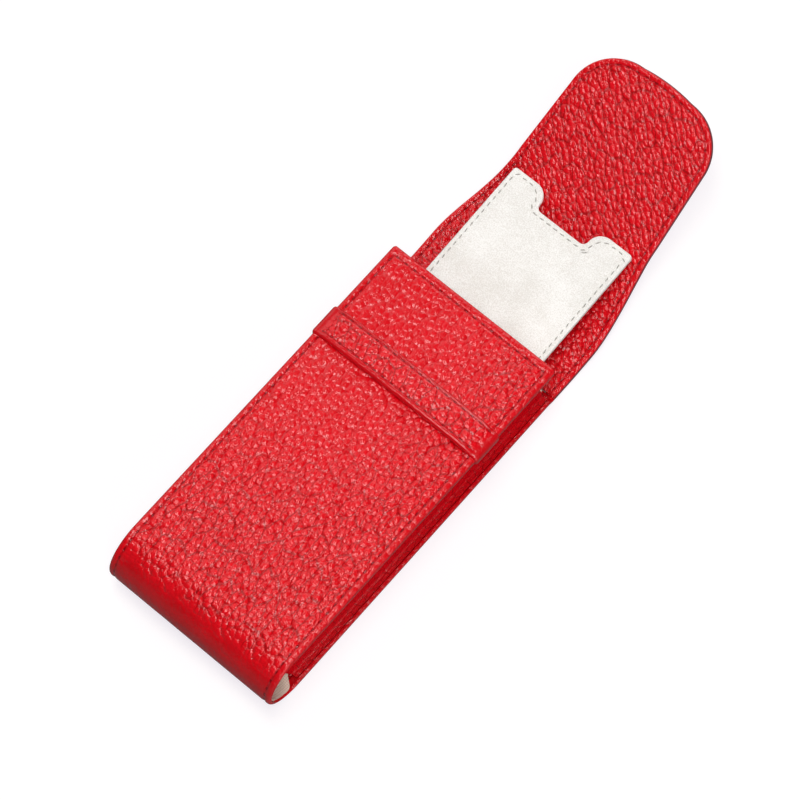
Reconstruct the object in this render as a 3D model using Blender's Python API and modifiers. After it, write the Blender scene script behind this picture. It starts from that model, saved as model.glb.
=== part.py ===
"""Leather pouch for one wrist watch, lying on its back with its flap open.

Metres, +Z up. X runs across the pouch, +Y from its closed bottom end to its mouth and flap.
The origin is on the ground under the middle of the back panel's flat underside.
The cover is one hide: front panel, U-shaped bottom bend, back panel and the root of the flap.
"""

import math

import bmesh
import bpy
from mathutils import Matrix, Vector

# Driving dimensions of the pouch
POUCH_WIDTH = 0.066
POUCH_LENGTH = 0.1365
POUCH_THICKNESS = 0.0275
LAYER_GAP = 0.0003

# Cover: the hide, and the rims that its turned edges make round the layers inside
COVER_LEATHER = 0.0011
RIM_HEIGHT = 0.0029
BEND_RIM_HEIGHT = 0.0013
EDGE_ROUNDING = 0.0008

# Boards and lining
BOARD_THICKNESS = 0.001
BOARD_CORNER = 0.002
BOARD_END_MARGIN = 0.0006
LINING_THICKNESS = 0.0004
LINING_SIDE_MARGIN = 0.0008
LINING_SPREAD_ANGLE = math.radians(20)

# Gussets: a flange along each panel, and between the flanges a wall folded inwards in a V
GUSSET_LEATHER = 0.0008
GUSSET_FLANGE = 0.0024
GUSSET_FOLD_DEPTH = 0.0034
GUSSET_ROUNDING = 0.001
GUSSET_TONGUE = 0.0068
GUSSET_END_MARGIN = 0.0005

# Band across the front panel
BAND_WIDTH = 0.0115
BAND_BELOW_MOUTH = 0.028
BAND_LEATHER = 0.001
BAND_LINING = 0.0006
BAND_LINING_MARGIN = 0.001
BAND_SEAM = 0.0045
BAND_SHOULDER = 0.0016
BAND_RISE = 0.0008
BAND_TUCK = 0.0024
BAND_ROUNDING = 0.0011

# Flap: leather outside, interlining, and facing on the inner side
FLAP_LENGTH = 0.102
FLAP_LEATHER = 0.001
FLAP_INTERLINING = 0.0005
FLAP_FACING = 0.001
FLAP_NECK_WIDTH = 0.0556
FLAP_TIP_WIDTH = 0.053
FLAP_CORNER_RADIUS = 0.0167
FLAP_TIP_CROWN = 0.0008
FLAP_NECK_START = 0.0184
FLAP_NECK_END = 0.0582
INTERLINING_MARGIN = 0.0035
HINGE_GAP = 0.0003

# The flap folds round the mouth, so its folds are spaced by the pouch's thickness
FLAP_FOLD_SHARES = (0.3636, 0.2909, 0.7273, 0.2909)
FLAP_REST_BENDS = tuple(math.radians(angle) for angle in (6.5, 1.5, 10.0, 12.0))

# Divider card, drawn partly out of the mouth
CARD_LENGTH = 0.105
CARD_REACH = 0.0495
CARD_STAND = 0.0024
CARD_SIDE_CLEARANCE = 0.0011
CARD_SKIN = 0.0005
CARD_CORE = 0.0006
CARD_CORE_MARGIN = 0.003
CARD_CORNER_RADIUS = 0.0012
CARD_NOTCH_DEPTH = 0.007
CARD_NOTCH_HALF_WIDTH = 0.008
CARD_SHOULDER_RADIUS = 0.005
CARD_NOTCH_RADIUS = 0.002

# How finely curves are drawn, and how near two points are one
BEND_STEPS = 18
ROUND_STEPS = 6
SMALL_ROUND_STEPS = 3
ACROSS_STEPS = 24
FLAP_ROW_SPACING = 0.004
CUT_OVERRUN = 0.002
MERGE_DISTANCE = 0.00001
FLAT_ANGLE = math.radians(1)
CORNER_REACH_SHARE = 0.33

# Places worked out from the sizes
MOUTH_Y = POUCH_LENGTH / 2
BEND_RADIUS = POUCH_THICKNESS / 2
BEND_Y = -POUCH_LENGTH / 2 + BEND_RADIUS
HALF_WIDTH = POUCH_WIDTH / 2
HEM_Y = MOUTH_Y - COVER_LEATHER
BOARD_DEPTH = COVER_LEATHER + LAYER_GAP
LINING_DEPTH = BOARD_DEPTH + BOARD_THICKNESS + LAYER_GAP
LINING_BEND_DEPTH = COVER_LEATHER + LAYER_GAP
LINING_TOP = LINING_DEPTH + LINING_THICKNESS
FLANGE_DEPTH = COVER_LEATHER + LAYER_GAP + GUSSET_LEATHER / 2
FLANGE_OUTER_X = HALF_WIDTH - COVER_LEATHER - LAYER_GAP
FOLD_X = FLANGE_OUTER_X - GUSSET_FLANGE
APEX_X = FOLD_X - GUSSET_FOLD_DEPTH
INTERLINING_DEPTH = FLAP_LEATHER + LAYER_GAP
FACING_DEPTH = INTERLINING_DEPTH + FLAP_INTERLINING + LAYER_GAP
FLAP_THICKNESS = FACING_DEPTH + FLAP_FACING
FOLD_LENGTHS = tuple(share * POUCH_THICKNESS for share in FLAP_FOLD_SHARES)
CARD_HALF_WIDTH = APEX_X - GUSSET_LEATHER / 2 - CARD_SIDE_CLEARANCE
CARD_THICKNESS = 2 * CARD_SKIN + CARD_CORE + 2 * LAYER_GAP

PARTS_NAME = "watch_pouch"
CUTTERS_NAME = "cutters"

# An outline drawn in a curve's own XY stands up as Y, Z and is extruded along X
SIDE_VIEW = Matrix(((0, 0, 1, 0), (1, 0, 0, 0), (0, 1, 0, 0), (0, 0, 0, 1)))


def clear_scene():
    for scene_object in list(bpy.data.objects):
        bpy.data.objects.remove(scene_object, do_unlink=True)


def collection(name):
    made = bpy.data.collections.new(name)
    bpy.context.scene.collection.children.link(made)
    return made


def material(name, colour, roughness):
    made = bpy.data.materials.new(name)
    made.use_nodes = True
    shader = made.node_tree.nodes["Principled BSDF"]
    shader.inputs["Base Color"].default_value = (*colour, 1.0)
    shader.inputs["Roughness"].default_value = roughness
    shader.inputs["Metallic"].default_value = 0.0
    made.diffuse_color = (*colour, 1.0)
    return made


def add_object(name, mesh, finish, parent=None):
    made = bpy.data.objects.new(name, mesh)
    if finish is not None:
        mesh.materials.append(finish)
    parts.objects.link(made)
    made.parent = parent
    return made


def add_empty(name, place, turn, parent=None):
    made = bpy.data.objects.new(name, None)
    made.empty_display_size = POUCH_THICKNESS
    made.location = place
    made.rotation_euler = (turn, 0.0, 0.0)
    parts.objects.link(made)
    made.parent = parent
    return made


def arc(centre, radius, start, end, steps):
    """Points on an arc in a plane, both ends included; angles in degrees."""
    points = []
    for step in range(steps + 1):
        angle = math.radians(start + (end - start) * step / steps)
        points.append((centre[0] + radius * math.cos(angle), centre[1] + radius * math.sin(angle)))
    return points


def smooth_share(value, start, end):
    """0 before start, 1 past end, and a smooth rise between them."""
    share = min(max((value - start) / (end - start), 0.0), 1.0)
    return share * share * (3 - 2 * share)


def rounded(points, radius, steps):
    """An open polyline with each inner corner replaced by an arc of about this radius."""
    result = [points[0]]
    for before, corner, after in zip(points, points[1:], points[2:]):
        corner_v = Vector(corner)
        back = Vector(before) - corner_v
        ahead = Vector(after) - corner_v
        half_angle = back.angle(ahead) / 2
        longest = CORNER_REACH_SHARE * min(back.length, ahead.length)
        reach = min(radius / math.tan(half_angle), longest)
        first = corner_v + back.normalized() * reach
        last = corner_v + ahead.normalized() * reach
        for step in range(steps + 1):
            share = step / steps
            blend = first.lerp(corner_v, share).lerp(corner_v.lerp(last, share), share)
            result.append(tuple(blend))
    result.append(points[-1])
    return result


def outline_mesh(name, points, half_depth, matrix):
    """A closed flat outline, filled and extruded both ways, as a welded mesh."""
    curve = bpy.data.curves.new(name, "CURVE")
    curve.dimensions = "2D"
    curve.fill_mode = "BOTH"
    curve.extrude = half_depth
    spline = curve.splines.new("POLY")
    spline.points.add(len(points) - 1)
    for point, place in zip(spline.points, points):
        point.co = (place[0], place[1], 0.0, 1.0)
    spline.use_cyclic_u = True
    guide = bpy.data.objects.new(name + "_outline", curve)
    bpy.context.scene.collection.objects.link(guide)
    bpy.context.view_layer.update()
    evaluated = guide.evaluated_get(bpy.context.evaluated_depsgraph_get())
    mesh = bpy.data.meshes.new_from_object(evaluated)
    bpy.data.objects.remove(guide, do_unlink=True)
    bm = bmesh.new()
    bm.from_mesh(mesh)
    bmesh.ops.remove_doubles(bm, verts=bm.verts, dist=MERGE_DISTANCE)
    bmesh.ops.dissolve_limit(bm, angle_limit=FLAT_ANGLE, verts=bm.verts, edges=bm.edges)
    bmesh.ops.transform(bm, matrix=matrix, verts=bm.verts)
    bmesh.ops.recalc_face_normals(bm, faces=bm.faces)
    bm.to_mesh(mesh)
    bm.free()
    return mesh



def sheet_mesh(name, rows):
    """An open surface: a primitive grid, whose points lie row by row, moved to these places."""
    bm = bmesh.new()
    bmesh.ops.create_grid(bm, x_segments=len(rows[0]) - 1, y_segments=len(rows) - 1, size=1.0)
    for vert, place in zip(bm.verts, [place for row in rows for place in row]):
        vert.co = place
    mesh = bpy.data.meshes.new(name)
    bm.to_mesh(mesh)
    bm.free()
    return mesh


def thicken(sheet, thickness, offset):
    """offset 1 grows the sheet along its normals, -1 against them and 0 to both sides."""
    solidify = sheet.modifiers.new("thickness", "SOLIDIFY")
    solidify.thickness = thickness
    solidify.offset = offset
    solidify.use_even_offset = True


def add_cutter(name, points, half_depth, matrix):
    cutter = bpy.data.objects.new(name, outline_mesh(name, points, half_depth, matrix))
    cutters.objects.link(cutter)
    cutter.hide_render = True
    cutter.display_type = "WIRE"
    return cutter


def cut(target, cutter):
    boolean = target.modifiers.new(cutter.name, "BOOLEAN")
    boolean.operation = "DIFFERENCE"
    boolean.solver = "EXACT"
    boolean.object = cutter


def plate(name, finish, low, high, corner, parent=None):
    """A flat board between two corners of its box, with its upright edges rounded."""
    bm = bmesh.new()
    bmesh.ops.create_cube(bm, size=1.0)
    size = [top - bottom for bottom, top in zip(low, high)]
    middle = [(top + bottom) / 2 for bottom, top in zip(low, high)]
    bmesh.ops.scale(bm, vec=size, verts=bm.verts)
    bmesh.ops.translate(bm, vec=middle, verts=bm.verts)
    upright = [edge for edge in bm.edges if abs(edge.verts[0].co.z - edge.verts[1].co.z) > size[2] / 2]
    if corner > 0:
        bmesh.ops.bevel(bm, geom=upright, offset=corner, segments=ROUND_STEPS, profile=0.5, affect="EDGES")
    mesh = bpy.data.meshes.new(name)
    bm.to_mesh(mesh)
    bm.free()
    return add_object(name, mesh, finish, parent)


def u_run(depth, front_end, back_end):
    """The U of the pouch seen from its side, this deep under the outer face."""
    bend = arc((BEND_Y, BEND_RADIUS), BEND_RADIUS - depth, 90, 270, BEND_STEPS)
    return [(front_end, POUCH_THICKNESS - depth), *bend, (back_end, depth)]


def round_outer_edges(mesh):
    """Rounds the long edges of the hide's outer face, and the front panel's mouth edge."""

    def outer(vert):
        if vert.co.y > BEND_Y:
            return min(vert.co.z, POUCH_THICKNESS - vert.co.z) < MERGE_DISTANCE
        from_axis = math.hypot(vert.co.y - BEND_Y, vert.co.z - BEND_RADIUS)
        return from_axis > BEND_RADIUS - MERGE_DISTANCE

    def wanted(edge):
        one, two = edge.verts
        if not (outer(one) and outer(two)):
            return False
        along_side = one.co.x * two.co.x > 0 and abs(one.co.x - two.co.x) < MERGE_DISTANCE
        at_mouth = min(one.co.y, two.co.y) > MOUTH_Y - MERGE_DISTANCE and one.co.z > BEND_RADIUS
        return along_side or at_mouth

    bm = bmesh.new()
    bm.from_mesh(mesh)
    edges = [edge for edge in bm.edges if wanted(edge)]
    bmesh.ops.bevel(
        bm, geom=edges, offset=EDGE_ROUNDING, segments=SMALL_ROUND_STEPS, profile=0.5, affect="EDGES"
    )
    bm.to_mesh(mesh)
    bm.free()


def make_outer_cover():
    """The hide: a thick U, rounded, then hollowed so that its turned edges stand as rims."""
    root_end = MOUTH_Y + FOLD_LENGTHS[0] - HINGE_GAP / 2
    outside = u_run(0.0, MOUTH_Y, root_end)
    inside = u_run(RIM_HEIGHT, MOUTH_Y, MOUTH_Y)
    step = [(root_end, FLAP_LEATHER), (MOUTH_Y, FLAP_LEATHER)]
    mesh = outline_mesh("outer_cover", outside + step + inside[::-1], HALF_WIDTH, SIDE_VIEW)
    round_outer_edges(mesh)
    cover = add_object("outer_cover", mesh, hide)

    hollow = u_run(COVER_LEATHER, HEM_Y, MOUTH_Y + CUT_OVERRUN)
    hollow += [(MOUTH_Y + CUT_OVERRUN, BEND_RADIUS), (HEM_Y, BEND_RADIUS)]
    cut(cover, add_cutter("hollow_between_rims", hollow, HALF_WIDTH - COVER_LEATHER, SIDE_VIEW))

    ring = arc((BEND_Y, BEND_RADIUS), BEND_RADIUS - BEND_RIM_HEIGHT, 90, 270, BEND_STEPS)
    ring += arc((BEND_Y, BEND_RADIUS), BEND_RADIUS - RIM_HEIGHT - CUT_OVERRUN, 270, 90, BEND_STEPS)
    cut(cover, add_cutter("open_side_of_bend", ring, HALF_WIDTH + CUT_OVERRUN, SIDE_VIEW))


def gusset_inner_x(depth):
    """How far out a layer of the panels may reach beside the gusset's sloping wall."""
    rise = BEND_RADIUS - FLANGE_DEPTH
    slope = math.hypot(rise, GUSSET_FOLD_DEPTH) / rise
    middle = FOLD_X - GUSSET_FOLD_DEPTH * (depth - FLANGE_DEPTH) / rise
    return middle - GUSSET_LEATHER / 2 * slope - LAYER_GAP


def make_boards():
    half = gusset_inner_x(BOARD_DEPTH + BOARD_THICKNESS)
    start = BEND_Y + BOARD_END_MARGIN
    front_end = HEM_Y - LAYER_GAP
    back_end = MOUTH_Y - LAYER_GAP
    top = POUCH_THICKNESS - BOARD_DEPTH
    plate("front_board", card, (-half, start, top - BOARD_THICKNESS), (half, front_end, top), BOARD_CORNER)
    back_top = BOARD_DEPTH + BOARD_THICKNESS
    plate("back_board", card, (-half, start, BOARD_DEPTH), (half, back_end, back_top), BOARD_CORNER)


def make_lining():
    """Woven cloth on both boards and round the bend, where it spreads towards the open sides."""
    narrow = gusset_inner_x(LINING_TOP)
    wide = HALF_WIDTH - LINING_SIDE_MARGIN
    rows = []

    def add_row(y, z, half):
        rows.append([(-half, y, z), (0.0, y, z), (half, y, z)])

    add_row(HEM_Y - LAYER_GAP, POUCH_THICKNESS - LINING_DEPTH, narrow)
    for step in range(BEND_STEPS + 1):
        angle = math.pi * step / BEND_STEPS
        spread = smooth_share(min(angle, math.pi - angle), 0.0, LINING_SPREAD_ANGLE)
        depth = LINING_DEPTH + (LINING_BEND_DEPTH - LINING_DEPTH) * spread
        half = narrow + (wide - narrow) * spread
        radius = BEND_RADIUS - depth
        add_row(BEND_Y - radius * math.sin(angle), BEND_RADIUS + radius * math.cos(angle), half)
    add_row(MOUTH_Y - LAYER_GAP, LINING_DEPTH, narrow)
    lining = add_object("lining", sheet_mesh("lining", rows), cloth)
    thicken(lining, LINING_THICKNESS, 1.0)


def make_gussets():
    """Each side's concertina wall, with its loose pointed tongue at the bottom end."""
    corners = [
        (FLANGE_OUTER_X, FLANGE_DEPTH),
        (FOLD_X, FLANGE_DEPTH),
        (APEX_X, BEND_RADIUS),
        (FOLD_X, POUCH_THICKNESS - FLANGE_DEPTH),
        (FLANGE_OUTER_X, POUCH_THICKNESS - FLANGE_DEPTH),
    ]
    section = rounded(corners, GUSSET_ROUNDING, SMALL_ROUND_STEPS)
    reach = BEND_RADIUS - FLANGE_DEPTH
    for name, side in (("left_gusset", -1), ("right_gusset", 1)):
        lower, upper = [], []
        for x, z in section[::side]:
            tongue = GUSSET_TONGUE * max(0.0, 1 - abs(z - BEND_RADIUS) / reach)
            lower.append((side * x, BEND_Y + GUSSET_END_MARGIN - tongue, z))
            upper.append((side * x, HEM_Y - LAYER_GAP, z))
        gusset = add_object(name, sheet_mesh(name, [lower, upper]), dark_leather)
        thicken(gusset, GUSSET_LEATHER, 0.0)


def spread(half):
    """Evenly spaced places from one side to the other."""
    return [half * (2 * step / ACROSS_STEPS - 1) for step in range(ACROSS_STEPS + 1)]


def band_lift(x):
    """Height of the band's crown over the front panel, on top of the gap that it keeps."""
    share = x / (HALF_WIDTH - BAND_SEAM)
    return BAND_RISE * max(0.0, 1 - share * share)


def make_band():
    """The strap over the front panel: its ends wrap the panel's side edges and tuck under them."""
    y_high = MOUTH_Y - BAND_BELOW_MOUTH
    y_low = y_high - BAND_WIDTH
    seam_x = HALF_WIDTH - BAND_SEAM
    shoulder_x = HALF_WIDTH - BAND_SHOULDER
    side_x = HALF_WIDTH + LAYER_GAP + BAND_LEATHER / 2
    base = POUCH_THICKNESS + LAYER_GAP + BAND_LEATHER / 2

    over = []
    for x in spread(shoulder_x):
        over_lining = 1 - smooth_share(abs(x), seam_x, shoulder_x)
        over.append((x, base + band_lift(x) + (BAND_LINING + LAYER_GAP) * over_lining))
    under_z = POUCH_THICKNESS - RIM_HEIGHT - LAYER_GAP - BAND_LEATHER / 2
    hook = [(shoulder_x, base), (side_x, base), (side_x, under_z), (HALF_WIDTH - BAND_TUCK, under_z)]
    right_hook = rounded(hook, BAND_ROUNDING, SMALL_ROUND_STEPS)[1:]
    left_hook = [(-x, z) for x, z in right_hook[::-1]]
    section = left_hook + over + right_hook
    rows = [[(x, y, z) for x, z in section] for y in (y_low, y_high)]
    band = add_object("band", sheet_mesh("band", rows), hide)
    thicken(band, BAND_LEATHER, 0.0)

    lining_rows = []
    for y in (y_low + BAND_LINING_MARGIN, y_high - BAND_LINING_MARGIN):
        row = []
        for x in spread(seam_x - LAYER_GAP):
            row.append((x, y, POUCH_THICKNESS + LAYER_GAP + BAND_LINING / 2 + band_lift(x)))
        lining_rows.append(row)
    band_lining = add_object("band_lining", sheet_mesh("band_lining", lining_rows), dark_leather)
    thicken(band_lining, BAND_LINING, 0.0)


def flap_half_width(along):
    """Half the flap's width this far from the mouth: full, then an S-curve into the neck."""
    neck = smooth_share(along, FLAP_NECK_START, FLAP_NECK_END)
    width = POUCH_WIDTH + (FLAP_NECK_WIDTH - POUCH_WIDTH) * neck
    taper = (along - FLAP_NECK_END) / (FLAP_LENGTH - FLAP_CORNER_RADIUS - FLAP_NECK_END)
    width += (FLAP_TIP_WIDTH - FLAP_NECK_WIDTH) * min(max(taper, 0.0), 1.0)
    return width / 2


def flap_reach(x, half_width, length, corner_radius):
    """How far the rounded tip reaches at this distance from the middle line."""
    flat_half = half_width - corner_radius
    if abs(x) <= flat_half:
        return length + FLAP_TIP_CROWN * (1 - (x / flat_half) ** 2)
    over = min(abs(x) - flat_half, corner_radius)
    return length - corner_radius + math.sqrt(max(corner_radius**2 - over**2, 0.0))


def flap_rows(start, end, margin, depth):
    """Places for a layer of one flap length; its own frame starts at its fold, Y along the flap."""
    is_tip = end >= FLAP_LENGTH
    row_count = math.ceil((end - start) / FLAP_ROW_SPACING)
    first = start + HINGE_GAP / 2
    tip_half = flap_half_width(FLAP_LENGTH) - margin
    rows = []
    for row in range(row_count + 1):
        places = []
        for quarter_turn in spread(math.pi / 2):
            across = math.sin(quarter_turn)
            last = end - HINGE_GAP / 2
            if is_tip:
                last = flap_reach(
                    across * tip_half, tip_half, FLAP_LENGTH - margin, FLAP_CORNER_RADIUS - margin
                )
            along = first + (last - first) * row / row_count
            half = flap_half_width(along) - margin
            places.append((across * half, along - start, -depth))
        rows.append(places)
    return rows


def make_flap():
    """Three layers from the mouth to the rounded tip, cut at the folds; each length has its hinge."""
    layers = (
        ("flap_leather", 0.0, FLAP_LEATHER, 0.0, hide),
        ("flap_interlining", INTERLINING_DEPTH, FLAP_INTERLINING, INTERLINING_MARGIN, card),
        ("flap_facing", FACING_DEPTH, FLAP_FACING, 0.0, hide),
    )
    root_end = MOUTH_Y + FOLD_LENGTHS[0] - HINGE_GAP / 2
    for name, low, thickness, margin, finish in layers[1:]:
        corner_low = (-HALF_WIDTH + margin, MOUTH_Y, low)
        corner_high = (HALF_WIDTH - margin, root_end, low + thickness)
        plate(name + "_root", finish, corner_low, corner_high, 0.0)

    folds = [sum(FOLD_LENGTHS[: index + 1]) for index in range(len(FOLD_LENGTHS))]
    ends = folds[1:] + [FLAP_LENGTH]
    parent = None
    place = (0.0, MOUTH_Y + folds[0], FLAP_THICKNESS)
    for number, (start, end, bend) in enumerate(zip(folds, ends, FLAP_REST_BENDS), 1):
        parent = add_empty("flap_fold_" + str(number), place, bend, parent)
        place = (0.0, end - start, 0.0)
        for name, low, thickness, margin, finish in layers:
            rows = flap_rows(start, end, margin, FLAP_THICKNESS - low - thickness)
            node_name = name + "_" + str(number)
            layer = add_object(node_name, sheet_mesh(node_name, rows), finish, parent)
            thicken(layer, thickness, -1.0)


def flap_inner_height(y_from_mouth):
    """Height of the facing's inner side at rest, this far out from the mouth."""
    folds = [sum(FOLD_LENGTHS[: index + 1]) for index in range(len(FOLD_LENGTHS))]
    y, z, angle = folds[0], FLAP_THICKNESS, 0.0
    for start, end, bend in zip(folds, folds[1:] + [FLAP_LENGTH], FLAP_REST_BENDS):
        angle += bend
        reach = (end - start) * math.cos(angle)
        if y + reach >= y_from_mouth:
            break
        y += reach
        z += (end - start) * math.sin(angle)
    return z + (y_from_mouth - y) * math.tan(angle)


def card_outline(margin):
    """The card from above: pointed ears at its corners and a notch for the bracelet at each end."""
    half = CARD_HALF_WIDTH - margin
    end = CARD_LENGTH / 2 - margin
    floor = CARD_LENGTH / 2 - CARD_NOTCH_DEPTH - margin
    wall = CARD_NOTCH_HALF_WIDTH + CARD_NOTCH_RADIUS + margin
    corner = CARD_CORNER_RADIUS
    shoulder = min(CARD_SHOULDER_RADIUS, CARD_NOTCH_DEPTH - CARD_NOTCH_RADIUS, (half - corner - wall) / 2)
    quarter = arc((half - corner, end - corner), corner, 0, 90, SMALL_ROUND_STEPS)
    quarter += arc((wall + shoulder, end - shoulder), shoulder, 90, 180, ROUND_STEPS)
    fillet = CARD_NOTCH_RADIUS
    quarter += arc((wall - fillet, floor + fillet), fillet, 0, -90, SMALL_ROUND_STEPS)
    upper = quarter + [(-x, y) for x, y in quarter[::-1]]
    return upper + [(-x, -y) for x, y in upper]


def make_divider():
    """The stiff card between two pale skins; its inner end rests on the lining."""
    seat = LINING_TOP + LAYER_GAP
    ear_height = flap_inner_height(CARD_REACH) + CARD_STAND
    tilt = math.asin((ear_height - seat) / CARD_LENGTH)
    inner_end = MOUTH_Y + CARD_REACH - CARD_LENGTH * math.cos(tilt)
    slide = add_empty("divider_slide", (0.0, inner_end, seat), tilt)
    layers = (
        ("divider_back", CARD_SKIN / 2, CARD_SKIN, 0.0, suede),
        ("divider_board", CARD_SKIN + LAYER_GAP + CARD_CORE / 2, CARD_CORE, CARD_CORE_MARGIN, card),
        ("divider_front", CARD_THICKNESS - CARD_SKIN / 2, CARD_SKIN, 0.0, suede),
    )
    for name, height, thickness, margin, finish in layers:
        place = Matrix.Translation((0.0, CARD_LENGTH / 2, height))
        add_object(name, outline_mesh(name, card_outline(margin), thickness / 2, place), finish, slide)


clear_scene()
parts = collection(PARTS_NAME)
cutters = collection(CUTTERS_NAME)

hide = material("red_pebbled_leather", (0.62, 0.012, 0.025), 0.45)
dark_leather = material("dark_red_smooth_leather", (0.3, 0.003, 0.01), 0.5)
cloth = material("beige_cloth", (0.55, 0.45, 0.34), 0.9)
card = material("grey_board", (0.35, 0.33, 0.3), 0.9)
suede = material("off_white_suede", (0.86, 0.84, 0.8), 0.85)

make_outer_cover()
make_boards()
make_lining()
make_gussets()
make_band()
make_flap()
make_divider()
bpy.context.view_layer.update()
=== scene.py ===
# %% [markdown]
# A leather slip pouch lies on its back with its flap open and its pale card drawn out.
# The CAD frame holds plain solids: it says where each piece is and how it moves. This lesson dresses
# that frame. Every piece that shows is rebuilt as the thin, soft, sewn thing that it is, in the frame's
# own place.

import math

import bmesh
import bpy
import numpy as np
from mathutils import Matrix, Vector, noise


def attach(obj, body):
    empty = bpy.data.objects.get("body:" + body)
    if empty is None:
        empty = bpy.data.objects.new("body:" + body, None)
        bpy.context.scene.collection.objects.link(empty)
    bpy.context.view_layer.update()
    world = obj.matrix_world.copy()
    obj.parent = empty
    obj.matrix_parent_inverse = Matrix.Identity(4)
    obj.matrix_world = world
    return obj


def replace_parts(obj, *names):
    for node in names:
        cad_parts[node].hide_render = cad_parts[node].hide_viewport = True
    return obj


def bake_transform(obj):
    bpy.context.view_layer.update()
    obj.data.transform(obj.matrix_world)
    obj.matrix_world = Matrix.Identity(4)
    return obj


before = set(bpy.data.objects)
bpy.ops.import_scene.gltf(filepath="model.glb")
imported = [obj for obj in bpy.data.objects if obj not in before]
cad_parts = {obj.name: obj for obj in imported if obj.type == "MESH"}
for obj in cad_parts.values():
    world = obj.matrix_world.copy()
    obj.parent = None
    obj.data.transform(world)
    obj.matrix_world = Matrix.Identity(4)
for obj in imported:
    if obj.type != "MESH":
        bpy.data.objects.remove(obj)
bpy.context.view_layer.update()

# %% [markdown]
# The camera stands where the photographer's did: high above the bottom end, a little to the right of
# the pouch, with a long lens. Its place is worked out from two angles, a distance and an aim point.

# %% Camera
VIEW_AZIMUTH = math.radians(40.46)
VIEW_ELEVATION = math.radians(68.94)
VIEW_DISTANCE = 1.2695
VIEW_TARGET = Vector((-0.0044, 0.03715, 0.0))
LENS_MM = 180.0


def add_object(name, data):
    """Puts a new object that shows this data into the scene."""
    made = bpy.data.objects.new(name, data)
    bpy.context.scene.collection.objects.link(made)
    return made


level = math.cos(VIEW_ELEVATION)
view_line = Vector(
    (math.sin(VIEW_AZIMUTH) * level, -math.cos(VIEW_AZIMUTH) * level, math.sin(VIEW_ELEVATION))
)
lens = bpy.data.cameras.new("camera")
lens.lens = LENS_MM
lens.clip_end = 10.0
camera = add_object("camera", lens)
camera.location = VIEW_TARGET + VIEW_DISTANCE * view_line
camera.rotation_euler = view_line.to_track_quat("Z", "Y").to_euler()
bpy.context.scene.camera = camera
bpy.context.scene.view_settings.view_transform = "Standard"
print("Camera at", [round(value, 3) for value in camera.location])

# %% [markdown]
# The studio is a white table under soft lamps. Leather shows its grain by what it mirrors, so the two
# overhead lamps hang a little off the place that the flat front panel mirrors to the camera: each pebble
# catches them on one flank, and the creases stay deep red. The lamps at the left, at the right and beyond
# the flap fill the sides, and hang too low for flat leather to mirror them.

# %% Lamps
LAMPS = (
    ("ceiling_softbox", (0.22, -0.2, 1.05), 0.4, 4.7),
    ("left_softbox", (-0.95, 0.25, 0.65), 1.0, 3.5),
    ("top_softbox", (-0.08, 0.02, 1.05), 0.26, 3.0),
    ("far_softbox", (-0.35, 1.1, 0.6), 0.8, 4.6),
    ("right_fill", (0.9, -0.3, 0.45), 0.9, 5.2),
)
for name, place, size, power in LAMPS:
    light = bpy.data.lights.new(name, "AREA")
    light.shape = "SQUARE"
    light.size = size
    light.energy = power
    lamp = add_object(name, light)
    lamp.location = place
    lamp.rotation_euler = (lamp.location - VIEW_TARGET).to_track_quat("Z", "Y").to_euler()
print("Lamps:", len(LAMPS))

# %% [markdown]
# Node trees are built with small helpers. The first adds a node, sets its options and fills its inputs
# with values or with other nodes' outputs. The others add what most finishes need: a sum, a smooth rise,
# a blend of two colours, a noise, and a bump that shades a height pattern.

# %% Node helpers
def wire(tree, kind, inputs=None, **options):
    """Adds a node; inputs maps a socket's name or number to a value or to another node's output."""
    made = tree.nodes.new(kind)
    for option, value in options.items():
        setattr(made, option, value)
    for key, value in (inputs or {}).items():
        if isinstance(value, bpy.types.NodeSocket):
            tree.links.new(value, made.inputs[key])
        else:
            made.inputs[key].default_value = value
    return made


def calc(tree, operation, first, second=0.0):
    return wire(tree, "ShaderNodeMath", {0: first, 1: second}, operation=operation).outputs[0]


def ease(tree, value, start, end, low=0.0, high=1.0):
    """A smooth rise from low to high while value goes from start to end."""
    inputs = {"Value": value, "From Min": start, "From Max": end, "To Min": low, "To Max": high}
    return wire(tree, "ShaderNodeMapRange", inputs, interpolation_type="SMOOTHSTEP").outputs[0]


def blend_colours(tree, share, first, second):
    made = wire(tree, "ShaderNodeMix", {0: share, 6: first, 7: second}, data_type="RGBA")
    return made.outputs[2]


def paint(red, green, blue):
    """A colour as it is read off a screen, 0 to 255, turned into the renderer's own linear light."""
    return (*[((value / 255 + 0.055) / 1.055) ** 2.4 for value in (red, green, blue)], 1.0)


def speckle(tree, place, scale, detail):
    """A soft noise, between 0 and 1."""
    return wire(tree, "ShaderNodeTexNoise", {"Vector": place, "Scale": scale, "Detail": detail}).outputs[0]


def new_finish(name, roughness, sheen=0.0, shine=0.5):
    """A material with these same-everywhere values, with its node tree and its main shader."""
    made = bpy.data.materials.new(name)
    made.use_nodes = True
    shader = made.node_tree.nodes["Principled BSDF"]
    shader.inputs["Roughness"].default_value = roughness
    shader.inputs["Sheen Weight"].default_value = sheen
    shader.inputs["Specular IOR Level"].default_value = shine
    return made, made.node_tree, shader


def dye(tree, share, dark, light):
    """Colours a finish from dark to light as the share rises from 0 to 1."""
    colour = blend_colours(tree, share, paint(*dark), paint(*light))
    tree.links.new(colour, tree.nodes["Principled BSDF"].inputs["Base Color"])


def relief(tree, height, depth, strength=1.0):
    """Shades a height pattern as dents and bumps of this depth, in metres."""
    bump = wire(tree, "ShaderNodeBump", {"Height": height, "Distance": depth, "Strength": strength})
    tree.links.new(bump.outputs[0], tree.nodes["Principled BSDF"].inputs["Normal"])


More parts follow.
